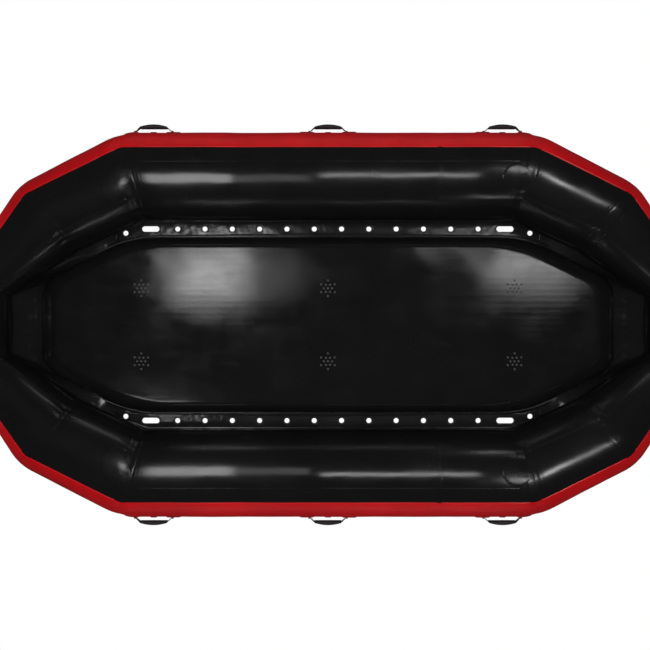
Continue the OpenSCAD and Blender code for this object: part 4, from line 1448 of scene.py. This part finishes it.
class DINGHY_PG_cloth(bpy.types.PropertyGroup):
    """Colours and gloss of the coated cloth."""
    black: colour("Black", "Colour of the tubes and the floor", (0.0076, 0.0074, 0.0078, 1))
    wrap: colour("Wrap", "Colour of the wrap around the outboard side", (0.66, 0.006, 0.010, 1))
    dust: colour("Dust", "Colour of the pale dust on the cloth", (0.035, 0.034, 0.034, 1))
    gloss: share("Roughness", "Roughness of the black coating", 0.22)


class DINGHY_PG_hull(bpy.types.PropertyGroup):
    """How the blown-up tubes depart from straight ones."""
    joint_radius: length("Joint radius", "Radius to which the outer side of a joint is rounded",
                         0.05, 0.6, 0.30)
    seam_pinch: length("Seam pinch", "How far a joint's seam is drawn in", 0, 0.01, 3.5 * MM)
    fold_depth: length("Fold depth", "Depth of the folds on the inner side of a joint",
                       0, 0.01, 3 * MM)
    ripple_depth: length("Ripple depth", "Depth of the fine ripples beside a joint",
                         0, 0.002, 0.3 * MM)
    unevenness: length("Unevenness", "Slow unevenness of the skin", 0, 0.005, 0.6 * MM)
    wrap_lap: length("Wrap lap", "How far the wrap laps over the black cloth", 0, 0.02, 2 * MM)
    tape_width: length("Tape width", "Width of the tape over a joint", 0.03, 0.08, 50 * MM)
    seam_strip_width: length("Seam strip width", "Width of the strip over a seam along a tube",
                             0.004, 0.03, 12 * MM)
    side_seam: turn("Side seam", "Place of the side tube's seam, up from outboard",
                    1, 2, math.radians(80.3))
    quarter_seam: turn("Quarter seam", "Place of the quarter tubes' seam, up from outboard",
                       1.8, 2.6, math.radians(128))


class DINGHY_PG_floor(bpy.types.PropertyGroup):
    """Shape of the blown-up floor, and of its strips and skirts."""
    strip_waves: length("Strip waves", "Height of the waves in the strips and skirts",
                        0, 0.004, 0.8 * MM)
    skirt_sag: length("Skirt sag", "How far the skirts hang down between their edges",
                      0, 0.01, 2 * MM)
    crown: length("Crown", "How far the middle stands above the edges", 0, 0.02, 2 * MM)
    rib_depth: length("Rib depth", "Height of the faint ribs over the rows of drop threads",
                      0, 0.002, 0.03 * MM)
    rib_pitch: length("Rib pitch", "Distance between the ribs", 0.01, 0.1, 26 * MM)
    unevenness: length("Unevenness", "Slow unevenness of the top skin", 0, 0.005, 0.25 * MM)
    edge_tape: length("Edge tape", "How far the floor's edge tape reaches out over the strips",
                      0.005, 0.03, 20 * MM)


class DINGHY_PG_studio(bpy.types.PropertyGroup):
    """Camera and lamps."""
    camera_height: length("Camera height", "Height of the camera above the side tubes' axis",
                          1, 10, 3.036)
    view_angle: turn("View angle", "Width of the camera's view", 0.2, 2, math.radians(49.81))
    dimness: glow("Surroundings", "Glow of the room around the boat", 1, 0.03)
    key_glow: glow("Key lamp", "Glow of the large lamp overhead", 50, 4.0)
    side_glow: glow("Side lamps", "Glow of the low lamps around the boat", 50, 6.0)
    strip_glow: glow("Strip lamps", "Glow of the strips above the tubes", 50, 6.0)
    strip_y: length("Strip place", "Distance of the strip lamps from the centre line", 0, 1, 0.545)
    strip_z: length("Strip height", "Height of the strip lamps", 0.4, 2, 0.58)
    window_glow: glow("Window lamps", "Glow of the lamps that the floor and the strips mirror",
                      50, 10.0)


def black_cloth(name, cloth, rougher=0.0):
    """The black coating, a little rougher or smoother for one use."""
    return coated_cloth(name, tuple(cloth.black), tuple(cloth.dust), cloth.gloss + rougher)


class DINGHY_OT_stage(bpy.types.Operator):
    """Sets up the camera, the pale floor and the lamps"""
    bl_idname = "dinghy.stage"
    bl_label = "Stage"

    def execute(self, context):
        build_stage(context.scene.dinghy_studio)
        return {"FINISHED"}


class DINGHY_OT_hull(bpy.types.Operator):
    """Makes the tubes, wraps, tapes, seam strips and round patches"""
    bl_idname = "dinghy.hull"
    bl_label = "Tubes"

    def execute(self, context):
        look, cloth = context.scene.dinghy_hull, context.scene.dinghy_cloth
        black = black_cloth("black_coating", cloth)
        red = coated_cloth("red_coating", tuple(cloth.wrap), tuple(cloth.wrap), cloth.gloss + 0.12)
        tape = black_cloth("seam_tape", cloth, 0.03)
        build_tubes(look, black)
        build_wraps(look, red)
        build_tapes(look, tape)
        build_seams(look, tape)
        build_patches(look, tape)
        return {"FINISHED"}


class DINGHY_OT_floor(bpy.types.Operator):
    """Makes the floor's skins, its edge tape and the grip studs"""
    bl_idname = "dinghy.floor"
    bl_label = "Floor"

    def execute(self, context):
        look, cloth = context.scene.dinghy_floor, context.scene.dinghy_cloth
        skin = black_cloth("floor_coating", cloth, -0.09)
        tape = black_cloth("edge_tape", cloth, 0.03)
        rubber = moulded("stud_rubber", (0.065, 0.065, 0.068, 1), (0.12, 0.12, 0.125, 1),
                         0.6, 0.05 * MM)
        build_floor(look, skin)
        build_edge_tape(look, tape)
        build_studs(look, rubber)
        return {"FINISHED"}


class DINGHY_OT_strips(bpy.types.Operator):
    """Makes the perforated strips, the skirts and the tapes along their tube edges"""
    bl_idname = "dinghy.strips"
    bl_label = "Strips and skirts"

    def execute(self, context):
        look, cloth = context.scene.dinghy_floor, context.scene.dinghy_cloth
        # The strips' and skirts' cloth is the black coating painted 1.8 times lighter: painted
        # sheen for the light they catch.
        sheet = coated_cloth("strip_cloth", shaded(cloth.black, 1.8), tuple(cloth.dust),
                             cloth.gloss - 0.04)
        tape = black_cloth("lap_tape", cloth, 0.03)
        build_strips(look, sheet)
        build_skirts(look, sheet)
        build_lap_tapes(look, tape)
        return {"FINISHED"}


class DINGHY_OT_handles(bpy.types.Operator):
    """Makes the grips, straps, pads, lugs and lifeline loops"""
    bl_idname = "dinghy.handles"
    bl_label = "Handles"

    def execute(self, context):
        black = webbing("black_webbing", (0.012, 0.012, 0.013, 1), (0.05, 0.05, 0.052, 1))
        red = webbing("red_webbing", (0.28, 0.012, 0.014, 1), (0.5, 0.06, 0.06, 1))
        thread = webbing("stitch_thread", (0.1, 0.1, 0.1, 1), (0.3, 0.3, 0.3, 1))
        rubber = moulded("grip_rubber", (0.025, 0.025, 0.028, 1), (0.09, 0.09, 0.095, 1),
                         0.5, 0.1 * MM)
        for handle in HANDLES:
            build_handle(handle, black, rubber, thread)
        build_bases(context.scene.dinghy_hull, red)
        return {"FINISHED"}


class DINGHY_OT_valves(bpy.types.Operator):
    """Makes the valves' pads and finishes their bodies, nuts, caps, poppets and springs"""
    bl_idname = "dinghy.valves"
    bl_label = "Valves"

    def execute(self, context):
        cloth = context.scene.dinghy_cloth
        pad = black_cloth("valve_pad", cloth, 0.03)
        build_valve_pads(context.scene.dinghy_hull, pad)
        plastic = moulded("valve_plastic", (0.02, 0.02, 0.022, 1), (0.06, 0.06, 0.065, 1),
                          0.4, 0.05 * MM)
        poppet = moulded("poppet_plastic", (0.45, 0.45, 0.43, 1), (0.6, 0.6, 0.57, 1),
                         0.4, 0.04 * MM)
        steel = moulded("spring_steel", (0.55, 0.54, 0.52, 1), (0.7, 0.69, 0.67, 1),
                        0.3, 0.02 * MM, 1.0)
        build_valves(plastic, poppet, steel)
        return {"FINISHED"}


class DINGHY_OT_inside(bpy.types.Operator):
    """Finishes the drop threads and the baffles inside the floor and tubes"""
    bl_idname = "dinghy.inside"
    bl_label = "Inside"

    def execute(self, context):
        thread = thread_cloth("drop_thread", (0.6, 0.6, 0.58, 1))
        finish_node("drop_stitch_rows", thread)
        baffle = coated_cloth("baffle_cloth", (0.02, 0.02, 0.021, 1), (0.05, 0.05, 0.05, 1), 0.5)
        finish_node("baffles", baffle)
        return {"FINISHED"}


class DINGHY_PT_build(bpy.types.Panel):
    """Lists the boat's pieces in the sidebar, with their settings"""
    bl_idname = "DINGHY_PT_build"
    bl_label = "Inflatable dinghy"
    bl_space_type = "VIEW_3D"
    bl_region_type = "UI"
    bl_category = "Dinghy"

    def draw(self, context):
        for step in STEPS:
            self.layout.operator(f"dinghy.{step}")
        for name in GROUPS:
            settings = getattr(context.scene, "dinghy_" + name)
            box = self.layout.box()
            for setting in settings.__annotations__:
                box.prop(settings, setting)


STEPS = ("stage", "hull", "floor", "strips", "handles", "valves", "inside")
GROUPS = {"cloth": DINGHY_PG_cloth, "hull": DINGHY_PG_hull, "floor": DINGHY_PG_floor,
          "studio": DINGHY_PG_studio}
CLASSES = (*GROUPS.values(), DINGHY_OT_stage, DINGHY_OT_hull, DINGHY_OT_floor, DINGHY_OT_strips,
           DINGHY_OT_handles, DINGHY_OT_valves, DINGHY_OT_inside, DINGHY_PT_build)


def register():
    for cls in CLASSES:
        bpy.utils.register_class(cls)
    for name, settings in GROUPS.items():
        setattr(bpy.types.Scene, "dinghy_" + name, bpy.props.PointerProperty(type=settings))


def unregister():
    for name in GROUPS:
        delattr(bpy.types.Scene, "dinghy_" + name)
    for cls in reversed(CLASSES):
        bpy.utils.unregister_class(cls)


def gather(name, starts):
    """Puts the pieces whose names have one of the starts into a group."""
    for piece in bpy.context.scene.objects:
        if piece.type == "MESH" and piece.name.startswith(starts):
            group(name).objects.link(piece)


def main():
    register()
    for step in STEPS:
        getattr(bpy.ops.dinghy, step)()
    gather("inboard", ("floor_", "grip_studs", "drain_strip", "bow_skirt", "stern_skirt",
                       "lap_tapes"))
    gather("tubes", ("side_", "bow_quarter", "stern_quarter", "bow_tube", "stern_tube", "bow_wrap",
                     "stern_wrap", "joint_tapes", "girth_tapes", "round_patches", "seam_strips"))


if __name__ == "__main__":
    main()
